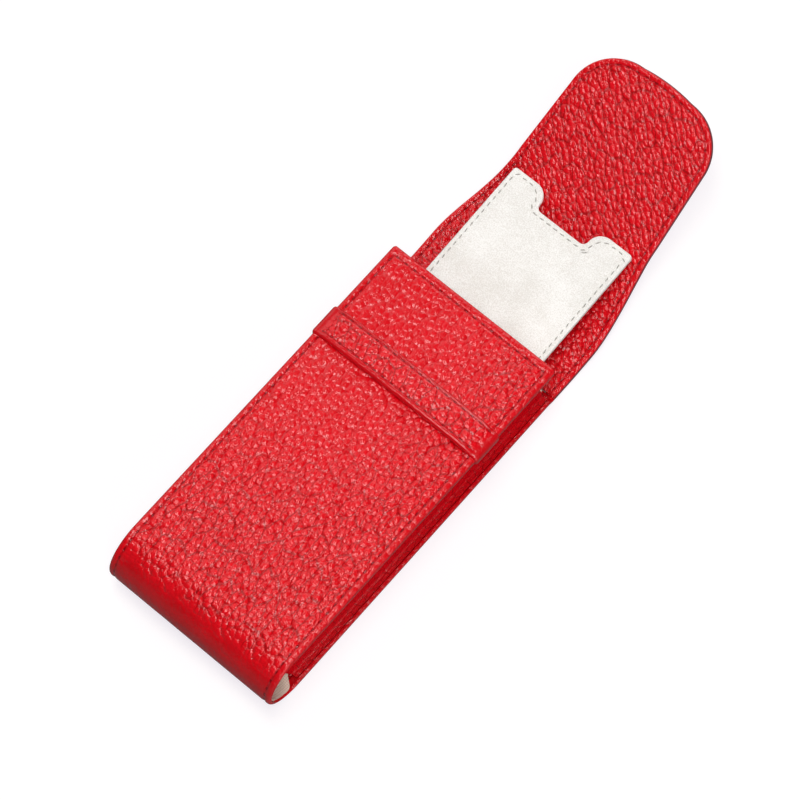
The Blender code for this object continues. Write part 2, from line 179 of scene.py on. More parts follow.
# %% [markdown]
# The table is white to the camera and keeps a part of its real shading, so the pouch has a soft shadow.
# The room round it is white to the camera too. To the leather the table is grey and the room is dim, so
# the red stays deep. The table's two tints leave the shadow a faint violet.

# %% Table and room
TABLE_SIZE = 6.0
TABLE_WHITE_SHARE = 0.68
TABLE_GLOW = (1.02, 0.98, 1.06, 1.0)
GLOW_STRENGTH = 1.07
TABLE_MATT = (0.95, 0.97, 0.8, 1.0)
TABLE_GREY = (0.18, 0.18, 0.18, 1.0)
TABLE_ROUGHNESS = 0.9
WHITE = (1.0, 1.0, 1.0, 1.0)
ROOM_STRENGTH = 0.06


def show_camera(tree, output, real, shown):
    """Gives the camera the shader that is shown, and everything else the real one."""
    ray = wire(tree, "ShaderNodeLightPath").outputs["Is Camera Ray"]
    chosen = wire(tree, "ShaderNodeMixShader", {0: ray, 1: real.outputs[0], 2: shown.outputs[0]})
    tree.links.new(chosen.outputs[0], tree.nodes[output].inputs["Surface"])


world = bpy.data.worlds.new("studio")
bpy.context.scene.world = world
world.use_nodes = True
room = world.node_tree.nodes["Background"]
room.inputs["Color"].default_value = WHITE
room.inputs["Strength"].default_value = ROOM_STRENGTH
white = wire(world.node_tree, "ShaderNodeBackground", {"Color": WHITE})
show_camera(world.node_tree, "World Output", room, white)

bpy.ops.mesh.primitive_plane_add(size=TABLE_SIZE)
table = bpy.context.object
table.name = "table"
table_white, tree, shader = new_finish("table_white", TABLE_ROUGHNESS)
shader.inputs["Base Color"].default_value = TABLE_GREY
matt = wire(tree, "ShaderNodeBsdfDiffuse", {"Color": TABLE_MATT})
glow = wire(tree, "ShaderNodeEmission", {"Color": TABLE_GLOW, "Strength": GLOW_STRENGTH})
shown = wire(tree, "ShaderNodeMixShader", {0: TABLE_WHITE_SHARE, 1: matt.outputs[0], 2: glow.outputs[0]})
show_camera(tree, "Material Output", shader, shown)
table.data.materials.append(table_white)
print("Table and room are white to the camera")

# %% [markdown]
# Pebbled leather is calf or cow hide, drummed or embossed until its grain stands up in small rounded
# cells with dark creases between them. A Voronoi pattern has just such cells: the distance from each
# cell's heart makes a rounded dome, and the distance from its border draws the crease. Noise bends the
# straight borders, a finer Voronoi dents the domes, a coarse stretched one adds long creases, and a fine
# noise wrinkles the tops. The pattern is drawn on the flat hide, in metres, so it runs over folds and
# edges as real grain does. Each material gives its own cell size, depth, direction and waviness.

# %% Shader group: pebbled grain
CELL_SCATTER = 0.8
SWIRL_SCALE = 0.6
PATCH_SCALE = 0.75
LONG_CELL_SQUEEZE = (0.52, 0.26, 1.0)
CREASE_WIDTH = 0.24
LONG_CREASE_WIDTH = 0.1
CREASE_DEPTH = 0.25
CROWN_POWER = 2.3
CROWN_DROP = 3.2
DENTS_PER_CELL = 2.3
DENT_DEPTH = 0.6
WRINKLES_PER_CELL = 4.2
WRINKLE_HEIGHT = 0.24
WRINKLE_SQUEEZE = (1.0, 0.45, 1.0)


def new_group(name, inputs, outputs):
    """An empty shader group, the sockets that it is given and those of its result."""
    group = bpy.data.node_groups.new(name, "ShaderNodeTree")
    for title, kind, value in inputs:
        socket = group.interface.new_socket(title, in_out="INPUT", socket_type="NodeSocket" + kind)
        if value is not None:
            socket.default_value = value
    for title in outputs:
        group.interface.new_socket(title, in_out="OUTPUT", socket_type="NodeSocketFloat")
    return group, group.nodes.new("NodeGroupInput").outputs, group.nodes.new("NodeGroupOutput").inputs


def cells(tree, place, scale, feature):
    """The outputs of a flat cell pattern; the feature says which distance is measured."""
    inputs = {"Vector": place, "Scale": scale, "Randomness": CELL_SCATTER}
    return wire(tree, "ShaderNodeTexVoronoi", inputs, voronoi_dimensions="2D", feature=feature).outputs


def make_grain_group():
    group, given, result = new_group(
        "pebbled_grain",
        (
            ("Hide", "Vector", None),
            ("Cells per metre", "Float", 700.0),
            ("Lean", "Float", 0.0),
            ("Stretch", "Float", 0.8),
            ("Calm", "Float", 0.0),
            ("Swirl", "Float", 0.7),
        ),
        ("Height", "Crease", "Tone"),
    )

    def vectors(operation, first, second):
        key = "Scale" if operation == "SCALE" else 1
        return wire(group, "ShaderNodeVectorMath", {0: first, key: second}, operation=operation).outputs[0]

    inputs = {"Vector": given["Hide"], "Angle": given["Lean"]}
    turned = wire(group, "ShaderNodeVectorRotate", inputs, rotation_type="Z_AXIS").outputs[0]
    squeeze = wire(group, "ShaderNodeCombineXYZ", {0: 1.0, 1: given["Stretch"], 2: 1.0}).outputs[0]
    flat = vectors("MULTIPLY", vectors("SCALE", turned, given["Cells per metre"]), squeeze)
    inputs = {"Vector": flat, "Scale": SWIRL_SCALE, "Detail": 3.0}
    swirl = wire(group, "ShaderNodeTexNoise", inputs).outputs["Color"]
    pushed = vectors("SCALE", vectors("SUBTRACT", swirl, (0.5, 0.5, 0.5)), given["Swirl"])
    place = vectors("ADD", flat, vectors("MULTIPLY", pushed, (1.0, 1.0, 0.0)))

    border = cells(group, place, 1.0, "DISTANCE_TO_EDGE")["Distance"]
    heart = cells(group, place, 1.0, "F1")
    crumb = cells(group, place, DENTS_PER_CELL, "F1")["Distance"]
    patches = speckle(group, place, PATCH_SCALE, 1.0)
    long_place = vectors("MULTIPLY", place, LONG_CELL_SQUEEZE)
    long_border = cells(group, long_place, 1.0, "DISTANCE_TO_EDGE")["Distance"]
    straight = vectors("SCALE", given["Hide"], given["Cells per metre"])
    fibres = vectors("MULTIPLY", straight, WRINKLE_SQUEEZE)
    inputs = {"Vector": fibres, "Scale": WRINKLES_PER_CELL, "Detail": 3.0}
    inputs.update({"Roughness": 0.6, "Distortion": 0.6})
    wrinkles = wire(group, "ShaderNodeTexNoise", inputs).outputs[0]

    crease = ease(group, border, 0.0, CREASE_WIDTH, 0.65, 0.0)
    crease = calc(group, "MULTIPLY", crease, ease(group, patches, 0.35, 0.65, 0.3, 1.0))
    long_crease = ease(group, long_border, 0.0, LONG_CREASE_WIDTH, 0.9, 0.0)
    hollow = calc(group, "MAXIMUM", crease, long_crease)
    crown = calc(group, "MULTIPLY", calc(group, "POWER", heart["Distance"], CROWN_POWER), CROWN_DROP)
    pebble = calc(group, "SUBTRACT", 1.0, crown)
    pebble = calc(group, "SUBTRACT", pebble, calc(group, "MULTIPLY", hollow, CREASE_DEPTH))
    dent = calc(group, "MULTIPLY", calc(group, "POWER", crumb, 2.0), DENT_DEPTH)
    pebble = calc(group, "SUBTRACT", pebble, dent)
    steady = calc(group, "SUBTRACT", 1.0, given["Calm"])
    pebble = calc(group, "MULTIPLY", pebble, steady)
    fine = calc(group, "MULTIPLY", wrinkles, WRINKLE_HEIGHT)
    tone = wire(group, "ShaderNodeSeparateColor", {0: heart["Color"]}).outputs[0]
    group.links.new(calc(group, "ADD", pebble, fine), result["Height"])
    # The crease mask also places the finishes' painted shade, a darker red, in the creases.
    group.links.new(calc(group, "MULTIPLY", hollow, calc(group, "POWER", steady, 3.0)), result["Crease"])
    group.links.new(tone, result["Tone"])
    return group


grain_group = make_grain_group()
print("Pebbled grain group has", len(grain_group.nodes), "nodes")

# %% [markdown]
# A sewn row presses a groove into the leather, and the needle leaves a small hole at each end of every
# stitch. The groove is modelled. The holes are drawn by a second group, from a map that gives each point
# its distance from the row and its place along it. The finish paints the holes dark red and the groove a
# little darker: painted shade.

# %% Shader group: needle holes
STITCH_PITCH = 0.0035
HOLE_HALF_WIDTH = 0.00033
HOLE_STRETCH = 2.6
HOLE_SLANT = 0.25
GROOVE_SHADE_FROM = 0.0001
GROOVE_SHADE_TO = 0.0006


def make_hole_group():
    inputs = (("Seam", "Vector", None), ("Pitch", "Float", STITCH_PITCH))
    group, given, result = new_group("needle_holes", inputs, ("Hole", "Groove"))
    parts = wire(group, "ShaderNodeSeparateXYZ", {0: given["Seam"]}).outputs
    steps = calc(group, "DIVIDE", parts[1], given["Pitch"])
    offset = calc(group, "SUBTRACT", calc(group, "FRACT", steps), 0.5)
    away = calc(group, "DIVIDE", calc(group, "MULTIPLY", offset, given["Pitch"]), HOLE_STRETCH)
    slanted = calc(group, "ADD", parts[0], calc(group, "MULTIPLY", away, HOLE_SLANT))
    squared = calc(group, "ADD", calc(group, "POWER", away, 2.0), calc(group, "POWER", slanted, 2.0))
    reach = calc(group, "SQRT", squared)
    # The hole mask dents the relief, and the finish paints shade into the hole.
    group.links.new(ease(group, reach, HOLE_HALF_WIDTH * 0.5, HOLE_HALF_WIDTH, 1.0, 0.0), result["Hole"])
    across = calc(group, "ABSOLUTE", parts[0])
    # The groove mask places a painted shade along the stitch row.
    pressed = ease(group, across, GROOVE_SHADE_FROM, GROOVE_SHADE_TO, 1.0, 0.0)
    group.links.new(pressed, result["Groove"])
    return group


hole_group = make_hole_group()
print("Needle hole group has", len(hole_group.nodes), "nodes")

# %% [markdown]
# Each leather finish is one material that places those groups with its own numbers. The hide is dyed
# through and top-coated, and every pebble has its own tone. The creases are a little duller and get a
# darker red, which is painted shade. Cut edges are painted a dull plum. Marks on the mesh say where the
# grain is calm and where paint lies; calm grain, stitch grooves and needle holes get painted shade too.

# %% Leather finishes
# Each set: a dark and a light pebble dye, then a darker red painted as shade in the creases.
HIDE_COLOURS_AND_CREASE_SHADE = ((220, 4, 20), (228, 10, 26), (172, 0, 10))
GUSSET_COLOURS_AND_CREASE_SHADE = ((222, 4, 22), (230, 10, 28), (165, 0, 14))
EDGE_PLUM = (124, 4, 40)
PAINTED_SHADE_RED = (160, 0, 12)
HOLE_SHADE_RED = (150, 0, 14)
LEATHER_SHINE = 0.5
LEATHER_ROUGHNESS = 0.2
CREASE_DULLNESS = 0.02
PAINT_ROUGHNESS = 0.6
PAINTED_SHADE_SHARE = 0.6
HOLE_DEPTH = 0.8


def leather(name, colours_and_crease_shade, cell_mm, depth_mm, lean=0.0, stretch=0.8, swirl=0.7):
    """Leather with cells of this size and depth; colours for dark pebbles, light ones and painted crease
    shade.
    """
    made, tree, shader = new_finish(name, LEATHER_ROUGHNESS, shine=LEATHER_SHINE)
    hide = wire(tree, "ShaderNodeUVMap", uv_map="hide").outputs[0]
    seam = wire(tree, "ShaderNodeUVMap", uv_map="seam").outputs[0]
    calm = wire(tree, "ShaderNodeAttribute", attribute_name="calm").outputs["Fac"]
    painted = wire(tree, "ShaderNodeAttribute", attribute_name="painted").outputs["Fac"]
    inputs = {"Hide": hide, "Cells per metre": 1000 / cell_mm, "Lean": lean, "Stretch": stretch}
    inputs.update({"Swirl": swirl, "Calm": calm})
    grain = wire(tree, "ShaderNodeGroup", inputs, node_tree=grain_group).outputs
    holes = wire(tree, "ShaderNodeGroup", {"Seam": seam}, node_tree=hole_group).outputs

    dark, light, crease = [paint(*colour) for colour in colours_and_crease_shade]
    creased = ease(tree, grain["Crease"], 0.0, 1.0)
    base = blend_colours(tree, ease(tree, grain["Tone"], 0.0, 1.0), dark, light)
    # Painted shade: the creases are blended to a darker red, for the bump casts no shade.
    base = blend_colours(tree, creased, base, crease)
    # Painted shade: calm grain is darkened, most in the bend, which turns away from the lamps, and so is
    # the stitch groove.
    for share, colour in (
        (calc(tree, "MULTIPLY", calc(tree, "POWER", calm, 2.0), PAINTED_SHADE_SHARE), PAINTED_SHADE_RED),
        (calc(tree, "MULTIPLY", holes["Groove"], PAINTED_SHADE_SHARE), PAINTED_SHADE_RED),
        (holes["Hole"], HOLE_SHADE_RED),
        (painted, EDGE_PLUM),
    ):
        base = blend_colours(tree, share, base, paint(*colour))
    tree.links.new(base, shader.inputs["Base Color"])

    dull = calc(tree, "MULTIPLY", calc(tree, "MAXIMUM", creased, holes["Hole"]), CREASE_DULLNESS)
    rough = calc(tree, "ADD", dull, LEATHER_ROUGHNESS)
    rough = calc(tree, "MAXIMUM", rough, calc(tree, "MULTIPLY", painted, PAINT_ROUGHNESS))
    tree.links.new(rough, shader.inputs["Roughness"])
    height = calc(tree, "SUBTRACT", grain["Height"], calc(tree, "MULTIPLY", holes["Hole"], HOLE_DEPTH))
    relief(tree, height, depth_mm / 1000)
    return made


cover_leather = leather("red_pebbled_leather", HIDE_COLOURS_AND_CREASE_SHADE, 1.9, 0.28, lean=0.1, stretch=0.78)
band_leather = leather("red_band_leather", HIDE_COLOURS_AND_CREASE_SHADE, 2.0, 0.2, lean=-0.3, stretch=0.9)
facing_leather = leather("red_facing_leather", HIDE_COLOURS_AND_CREASE_SHADE, 1.7, 0.23, lean=-0.8, stretch=0.75, swirl=0.6)
gusset_leather = leather("dark_red_gusset_leather", GUSSET_COLOURS_AND_CREASE_SHADE, 0.7, 0.03)
print("Leathers:", cover_leather.name, band_leather.name, facing_leather.name, gusset_leather.name)

# %% [markdown]
# The other finishes are plain: beige cloth with a plain weave, greyish board, napped suede, and thread.
# Each needs one or two patterns, so they are short functions and no groups. Scales are waves per metre.

# %% Cloth, board, suede and thread
WEAVE_SCALE = 430.0
SLUB_SCALE = 900.0
FIBRE_SCALE = 1800.0
NAP_SCALE = 2600.0
CLOUD_SCALE = 90.0
TWIST_SCALE = 900.0
THREAD_SHINE = 0.15


def make_cloth():
    made, tree, _ = new_finish("beige_lining_cloth", 0.9, sheen=0.1)
    place = wire(tree, "ShaderNodeUVMap", uv_map="hide").outputs[0]
    inputs = {"Vector": place, "Scale": WEAVE_SCALE, "Distortion": 0.4, "Detail": 1.0}
    warp, weft = [
        wire(tree, "ShaderNodeTexWave", inputs, bands_direction=axis).outputs["Fac"] for axis in "XY"
    ]
    weave = calc(tree, "MAXIMUM", warp, weft)
    slub = ease(tree, speckle(tree, place, SLUB_SCALE, 2.0), 0.3, 0.7, 0.7, 1.0)
    dye(tree, calc(tree, "MULTIPLY", weave, slub), (226, 196, 176), (255, 238, 220))
    relief(tree, weave, 0.0001, 0.8)
    return made


def make_board():
    made, tree, _ = new_finish("grey_board", 0.85)
    place = wire(tree, "ShaderNodeTexCoord").outputs["Object"]
    fibre = speckle(tree, place, FIBRE_SCALE, 4.0)
    dye(tree, fibre, (120, 116, 108), (176, 170, 160))
    relief(tree, fibre, 0.0001, 0.5)
    return made


def make_suede():
    made, tree, _ = new_finish("off_white_suede", 0.85, sheen=0.25)
    place = wire(tree, "ShaderNodeTexCoord").outputs["Object"]
    nap = speckle(tree, place, NAP_SCALE, 3.0)
    cloud = speckle(tree, place, CLOUD_SCALE, 3.0)
    tone = calc(tree, "ADD", calc(tree, "MULTIPLY", nap, 0.7), calc(tree, "MULTIPLY", cloud, 0.3))
    dye(tree, ease(tree, tone, 0.35, 0.65), (226, 222, 215), (250, 248, 244))
    relief(tree, nap, 0.00015, 0.7)
    return made


def make_thread(name, dark, light):
    made, tree, _ = new_finish(name, 0.55, shine=THREAD_SHINE)
    place = wire(tree, "ShaderNodeTexCoord").outputs["Object"]
    inputs = {"Vector": place, "Scale": TWIST_SCALE, "Distortion": 1.0, "Detail": 1.0}
    twist = wire(tree, "ShaderNodeTexWave", inputs, bands_direction="DIAGONAL").outputs["Fac"]
    dye(tree, twist, dark, light)
    relief(tree, twist, 0.00005, 0.6)
    return made


lining_cloth = make_cloth()
board_finish = make_board()
suede = make_suede()
# The red thread and the white one are both coloured darker than the leather and suede they sew: their own
# colour with painted shade from the groove and the needle holes.
red_thread = make_thread("red_thread", (176, 2, 18), (210, 10, 28))
white_thread = make_thread("white_thread", (138, 134, 128), (204, 200, 192))
print("Materials:", len(bpy.data.materials))

# %% [markdown]
# The outer cover is one hide: front panel, U-shaped bottom bend, back panel and the root of the flap.
# It is drawn flat and then laid round the pouch, as a bag maker folds it. A point of the flat hide has
# a place across (x), a run (0 at the back panel's mouth, positive along the flap, negative round the
# back panel, the bend and the front panel) and a depth under the outer face.

# %% The folded hide
POUCH_WIDTH = 0.066
POUCH_LENGTH = 0.1365
POUCH_THICKNESS = 0.0275
FLAP_LENGTH = 0.102
FLAP_THICKNESS = 0.0031
FOLD_RUNS = (0.01, 0.018, 0.038, 0.046)
FOLD_BENDS = (6.5, 1.5, 10.0, 12.0)
FOLD_REACH = 0.004

HALF_WIDTH = POUCH_WIDTH / 2
MOUTH_Y = POUCH_LENGTH / 2
BEND_RADIUS = POUCH_THICKNESS / 2
BEND_Y = BEND_RADIUS - POUCH_LENGTH / 2
PANEL_RUN = MOUTH_Y - BEND_Y
BEND_RUN = math.pi * BEND_RADIUS
FRONT_END = -(2 * PANEL_RUN + BEND_RUN)


def smooth(value, start, end):
    """A smooth rise from 0 to 1 while value goes from start to end."""
    share = np.clip((np.asarray(value, float) - start) / (end - start), 0.0, 1.0)
    return share * share * (3 - 2 * share)


def flap_angle(run):
    """How steeply the flap rises here: each fold adds its bend over a few millimetres."""
    angle = np.zeros_like(np.asarray(run, float))
    for fold, bend in zip(FOLD_RUNS, FOLD_BENDS):
        angle = angle + math.radians(bend) * smooth(run, fold - FOLD_REACH, fold + FOLD_REACH)
    return angle


PATH_STEP = 0.0001
path_runs = np.arange(0.0, FLAP_LENGTH + 0.004, PATH_STEP)
path_angles = flap_angle(path_runs + PATH_STEP / 2)
path_y = MOUTH_Y + np.concatenate([[0.0], np.cumsum(np.cos(path_angles) * PATH_STEP)[:-1]])
path_z = FLAP_THICKNESS + np.concatenate([[0.0], np.cumsum(np.sin(path_angles) * PATH_STEP)[:-1]])


def lay(x, run, depth):
    """The places on the folded pouch of points of the flat hide, as one array with x, y and z last."""
    x, run, depth = np.broadcast_arrays(*[np.asarray(value, float) for value in (x, run, depth)])
    turn = np.clip((-run - PANEL_RUN) / BEND_RADIUS, 0.0, math.pi)
    past_bend = np.maximum(-run - PANEL_RUN - BEND_RUN, 0.0)
    y = np.where(turn > 0, BEND_Y - (BEND_RADIUS - depth) * np.sin(turn) + past_bend, MOUTH_Y + run)
    z = BEND_RADIUS - (BEND_RADIUS - depth) * np.cos(turn)
    angle = flap_angle(run)
    under = FLAP_THICKNESS - depth
    y_flap = np.interp(run, path_runs, path_y) + under * np.sin(angle)
    z_flap = np.interp(run, path_runs, path_z) - under * np.cos(angle)
    on_flap = run > 0
    return np.stack([x, np.where(on_flap, y_flap, y), np.where(on_flap, z_flap, z)], axis=-1)


def outward(run):
    """The direction in which the hide's outer face looks here."""
    run = np.asarray(run, float)
    turn = np.clip((-run - PANEL_RUN) / BEND_RADIUS, 0.0, math.pi)
    angle = flap_angle(run)
    on_flap = run > 0
    y = np.where(on_flap, np.sin(angle), -np.sin(turn))
    z = np.where(on_flap, -np.cos(angle), -np.cos(turn))
    return np.stack([np.zeros_like(y), y, z], axis=-1)


print("Hide runs from", round(FRONT_END * 1000, 1), "to", FLAP_LENGTH * 1000, "mm")

# %% [markdown]
# The flap starts as wide as the pouch, draws in to a neck in one S-curve, and ends in a rounded tip.
# Its outline is kept as a line of points. The stitch row runs 2 mm inside it, on round the back panel,
# the bend and the front panel, and across under the front mouth: one closed row on the flat hide.

# %% Flap outline and stitch row
NECK_HALF = 0.0278
TIP_HALF = 0.0265
TIP_RADIUS = 0.0167
TIP_CROWN = 0.0008
NECK_START = 0.0184
NECK_END = 0.0582
SEAM_IN_FLAP = 0.002
SEAM_IN_PANEL = 0.0023
SEAM_BELOW_MOUTH = 0.003


def flap_half_width(run):
    """Half the flap's width at this run; the panels keep their full width."""
    neck = smooth(run, NECK_START, NECK_END)
    half = HALF_WIDTH + (NECK_HALF - HALF_WIDTH) * neck
    taper = np.clip((run - NECK_END) / (FLAP_LENGTH - TIP_RADIUS - NECK_END), 0.0, 1.0)
    return half + (TIP_HALF - NECK_HALF) * taper


def flap_reach(x):
    """How far the rounded tip reaches at this distance from the middle line."""
    flat = TIP_HALF - TIP_RADIUS
    over = np.clip(np.abs(x) - flat, 0.0, TIP_RADIUS)
    crown = TIP_CROWN * np.maximum(0.0, 1 - (x / flat) ** 2)
    return FLAP_LENGTH - TIP_RADIUS + np.sqrt(np.maximum(TIP_RADIUS**2 - over**2, 0.0)) + crown


def right_outline():
    """The flat hide's right edge, from the front mouth to the middle of the flap's tip."""
    runs = np.arange(FRONT_END, FLAP_LENGTH - TIP_RADIUS, 0.0008)
    side = np.stack([flap_half_width(runs), runs], axis=1)
    turns = np.linspace(0.0, math.pi / 2, 60)
    x = np.where(turns < 1.5, TIP_HALF * np.cos(turns), 0.0)
    return np.concatenate([side, np.stack([x, flap_reach(x)], axis=1)])


def left_of(line):
    """The unit direction to the left of a line of points, at each of them."""
    ahead = np.gradient(line, axis=0)
    ahead /= np.linalg.norm(ahead, axis=1, keepdims=True)
    return np.stack([-ahead[:, 1], ahead[:, 0]], axis=1)


def along_line(line):
    """How far along a line of points each of them lies."""
    return np.concatenate([[0.0], np.cumsum(np.linalg.norm(np.diff(line, axis=0), axis=1))])


def points_at(stops, line, along):
    """The points of a line at these distances along it."""
    return np.stack([np.interp(stops, along, line[:, axis]) for axis in (0, 1)], axis=1)


edge_line = right_outline()
to_flap = smooth(edge_line[:, 1], -FOLD_REACH, FOLD_REACH)
seam_inset = SEAM_IN_PANEL + (SEAM_IN_FLAP - SEAM_IN_PANEL) * to_flap
right_seam = edge_line + left_of(edge_line) * seam_inset[:, None]
right_seam = right_seam[right_seam[:, 1] > FRONT_END + SEAM_BELOW_MOUTH]
corner = np.array([[right_seam[0, 0], FRONT_END + SEAM_BELOW_MOUTH]])
half_seam = np.concatenate([corner, right_seam])
half_seam[-1, 0] = 0.0
mirror = np.array([-1.0, 1.0])
whole_edge = np.concatenate([edge_line, edge_line[-2::-1] * mirror])
whole_seam = np.concatenate([half_seam, half_seam[-2::-1] * mirror, corner])
seam_along = along_line(whole_seam)
print("Stitch row is", round(seam_along[-1] * 1000), "mm long on the flat hide")


def from_line(x, run, line, along=None, batch=2000):
    """Each place's distance from a line, and how far along it; in batches, to save memory."""
    points = np.stack([x.ravel(), run.ravel()], axis=1)
    steps = np.diff(line, axis=0)
    squares = np.maximum((steps**2).sum(axis=1), 1e-18)
    lengths = np.sqrt(squares)
    distance = np.empty(len(points))
    place = np.zeros(len(points))
    for first in range(0, len(points), batch):
        part = slice(first, first + batch)
        gap = points[part, None, :] - line[None, :-1]
        share = np.clip((gap * steps).sum(axis=2) / squares, 0.0, 1.0)
        away = np.linalg.norm(gap - share[..., None] * steps, axis=2)
        nearest = away.argmin(axis=1)
        rows = np.arange(len(nearest))
        distance[part] = away[rows, nearest]
        if along is not None:
            place[part] = along[nearest] + share[rows, nearest] * lengths[nearest]
    return distance.reshape(x.shape), place.reshape(x.shape)


# %% [markdown]
# Every leather piece here is a closed sheet: a visible face and a hidden face, each a grid of places,
# joined round their borders. Building both grids in numbers gives full control of rolled edges and
# grooves, which a Solidify modifier would not. The two maps are the flat hide and the stitch row; a face
# without stitches is put far from the row, where neither groove nor hole is drawn.

# %% Closed sheets
FAR_FROM_SEAM = 0.01
MERGE_WITHIN = 0.000002
SLIVER = 0.000001


def quads(index):
    """The four-cornered faces of a grid of point numbers."""
    corners = (index[:-1, :-1], index[:-1, 1:], index[1:, 1:], index[1:, :-1])
    return np.stack(corners, axis=-1).reshape(-1, 4)


def across_length(places):
    """Distance across each row of places, measured on the surface from its middle column."""
    steps = np.linalg.norm(np.diff(places, axis=1), axis=2)
    total = np.concatenate([np.zeros((len(places), 1)), np.cumsum(steps, axis=1)], axis=1)
    return total - total[:, [total.shape[1] // 2]]


def both(face, back=None):
    """Values for the visible face and for the hidden one, which has the same ones unless given its own."""
    return np.stack([face, face if back is None else back])


def closed_sheet(name, front, back, finish, maps=None, marks=None):
    """A solid sheet between two grids; maps and marks hold one value for each place of both grids."""
    rows, columns = front.shape[:2]
    count = rows * columns
    index = np.arange(count).reshape(rows, columns)
    border = np.concatenate([index[0, :], index[1:, -1], index[-1, -2::-1], index[-2::-1, 0]])
    walls = np.stack([border[1:], border[:-1], border[:-1] + count, border[1:] + count], axis=-1)
    faces = np.concatenate([quads(index), quads(index)[:, ::-1] + count, walls])
    mesh = bpy.data.meshes.new(name)
    places = np.concatenate([front.reshape(-1, 3), back.reshape(-1, 3)])
    mesh.from_pydata(places.tolist(), [], faces.tolist())
    loops = np.empty(len(mesh.loops), dtype=np.int32)
    mesh.loops.foreach_get("vertex_index", loops)
    for title, values in (maps or {}).items():
        layer = mesh.uv_layers.new(name=title)
        layer.data.foreach_set("uv", values.reshape(-1, 2)[loops].ravel())
    for title, values in (marks or {}).items():
        mark = mesh.attributes.new(title, "FLOAT", "POINT")
        mark.data.foreach_set("value", values.ravel())
    return weld(name, mesh, finish)


def weld(name, mesh, finish, sharp_angle=55):
    """Merges coincident points, turns all faces outwards and shades the piece smooth."""
    bm = bmesh.new()
    bm.from_mesh(mesh)
    bmesh.ops.remove_doubles(bm, verts=bm.verts, dist=MERGE_WITHIN)
    bmesh.ops.dissolve_degenerate(bm, edges=bm.edges, dist=SLIVER)
    bmesh.ops.recalc_face_normals(bm, faces=bm.faces)
    bm.to_mesh(mesh)
    bm.free()
    mesh.shade_smooth()
    mesh.set_sharp_from_angle(angle=math.radians(sharp_angle))
    mesh.materials.append(finish)
    return add_object(name, mesh)


def waver(x, run, size, seed):
    """Smooth noise between about -0.5 and 0.5 over the flat hide."""
    flat_x = np.ravel(x) / size
    flat_run = np.ravel(run) / size
    values = [noise.noise(Vector((a, b, seed))) for a, b in zip(flat_x, flat_run)]
    return np.array(values).reshape(np.shape(x)) * 0.5


# %% [markdown]
# The cover's edges are turned: the leather is rolled over the board and shows a smooth round border
# about 2 mm wide outside the stitch groove. At the flap the edge is cut and painted instead. Each edge
# shape pairs distances in from the edge with depths, in millimetres, and one shape turns into the other.

# %% Edge shapes
def edge_shape(insets, depths):
    """The edge's corner points in metres; the last depth goes on to the end."""
    rest = [depths[-1]] * (len(insets) - len(depths))
    return np.array([insets, [*depths, *rest]]).T / 1000


ROLLED_EDGE = edge_shape(
    (0.35, 0.08, 0.0, 0.0, 0.0, 0.07, 0.26, 0.56, 1.0, 1.4, 1.75, 2.0, 2.15, 2.3, 2.45, 2.65, 3.3, 4.2),
    (2.9, 2.78, 2.45, 1.8, 1.25, 0.85, 0.45, 0.18, 0.03, 0.0),
)
ROLLED_BACK = edge_shape(
    (0.35, 0.45, 0.55, 0.7, 0.85, 1.0, 1.1, 1.1, 1.1, 1.1, 1.4, 1.8, 2.1, 2.3, 2.5, 2.7, 3.3, 4.2),
    (2.9, 2.9, 2.9, 2.9, 2.9, 2.9, 2.8, 2.2, 1.5, 1.1),
)
CUT_EDGE = edge_shape(
    (0.0, 0.0, 0.0, 0.0, 0.0, 0.06, 0.2, 0.45, 0.9, 1.3, 1.55, 1.75, 1.9, 2.05, 2.2, 2.45, 3.3, 4.2),
    (1.55, 1.3, 1.05, 0.8, 0.5, 0.28, 0.1, 0.0),
)
CUT_BACK = edge_shape(
    (0.0, 0.1, 0.3, 0.5, 0.7, 0.9, 1.1, 1.3, 1.5, 1.7, 1.9, 2.1, 2.3, 2.4, 2.5, 2.7, 3.0, 4.2),
    (*[1.55] * 14, 1.5, 1.2, 1.0),
)
EDGE_COUNT = len(ROLLED_EDGE)
MIDDLE_COLUMNS = 48
MIDDLE_SHARES = np.linspace(-1.0, 1.0, MIDDLE_COLUMNS + 2)[1:-1]
GROOVE_DEPTH = 0.00022
GROOVE_HALF = 0.0008
RIM_HEIGHT = 0.0029
BEND_RIM_HEIGHT = 0.0013


def columns_between(half, shape):
    """The x of every column for rows of these half widths, with the edge shape at both ends."""
    side = half[:, None] - shape[..., 0]
    return np.concatenate([-side, side[:, [-1]] * MIDDLE_SHARES, side[:, ::-1]], axis=1)


def depths_between(shape, level):
    """The depth of every column: the edge shape at both ends and one level between them."""
    middle = np.full((len(shape), MIDDLE_COLUMNS), level)
    return np.concatenate([shape[..., 1], middle, shape[:, ::-1, 1]], axis=1)


def groove(distance):
    """Depth of the pressed groove at this distance from the stitch row."""
    return GROOVE_DEPTH * (1 - smooth(distance, 0.0, GROOVE_HALF))


# %% [markdown]
# The cover's rows run from the front mouth, whose edge is rolled like the sides, over the bend to the
# first fold of the flap. The rims are low in the bend, where the sides stand open. The leather's face
# is never quite flat, so a slow waver of a tenth of a millimetre is added, and finer creases where it
# is bent. The grain is calm at the borders and in the bend, where the leather is pulled smooth, and a
# little on the front panel, near its mouth and its left side. The finish darkens calm grain: painted
# shade, most in the bend, which turns away from the lamps. Places in the bend are given in radians.

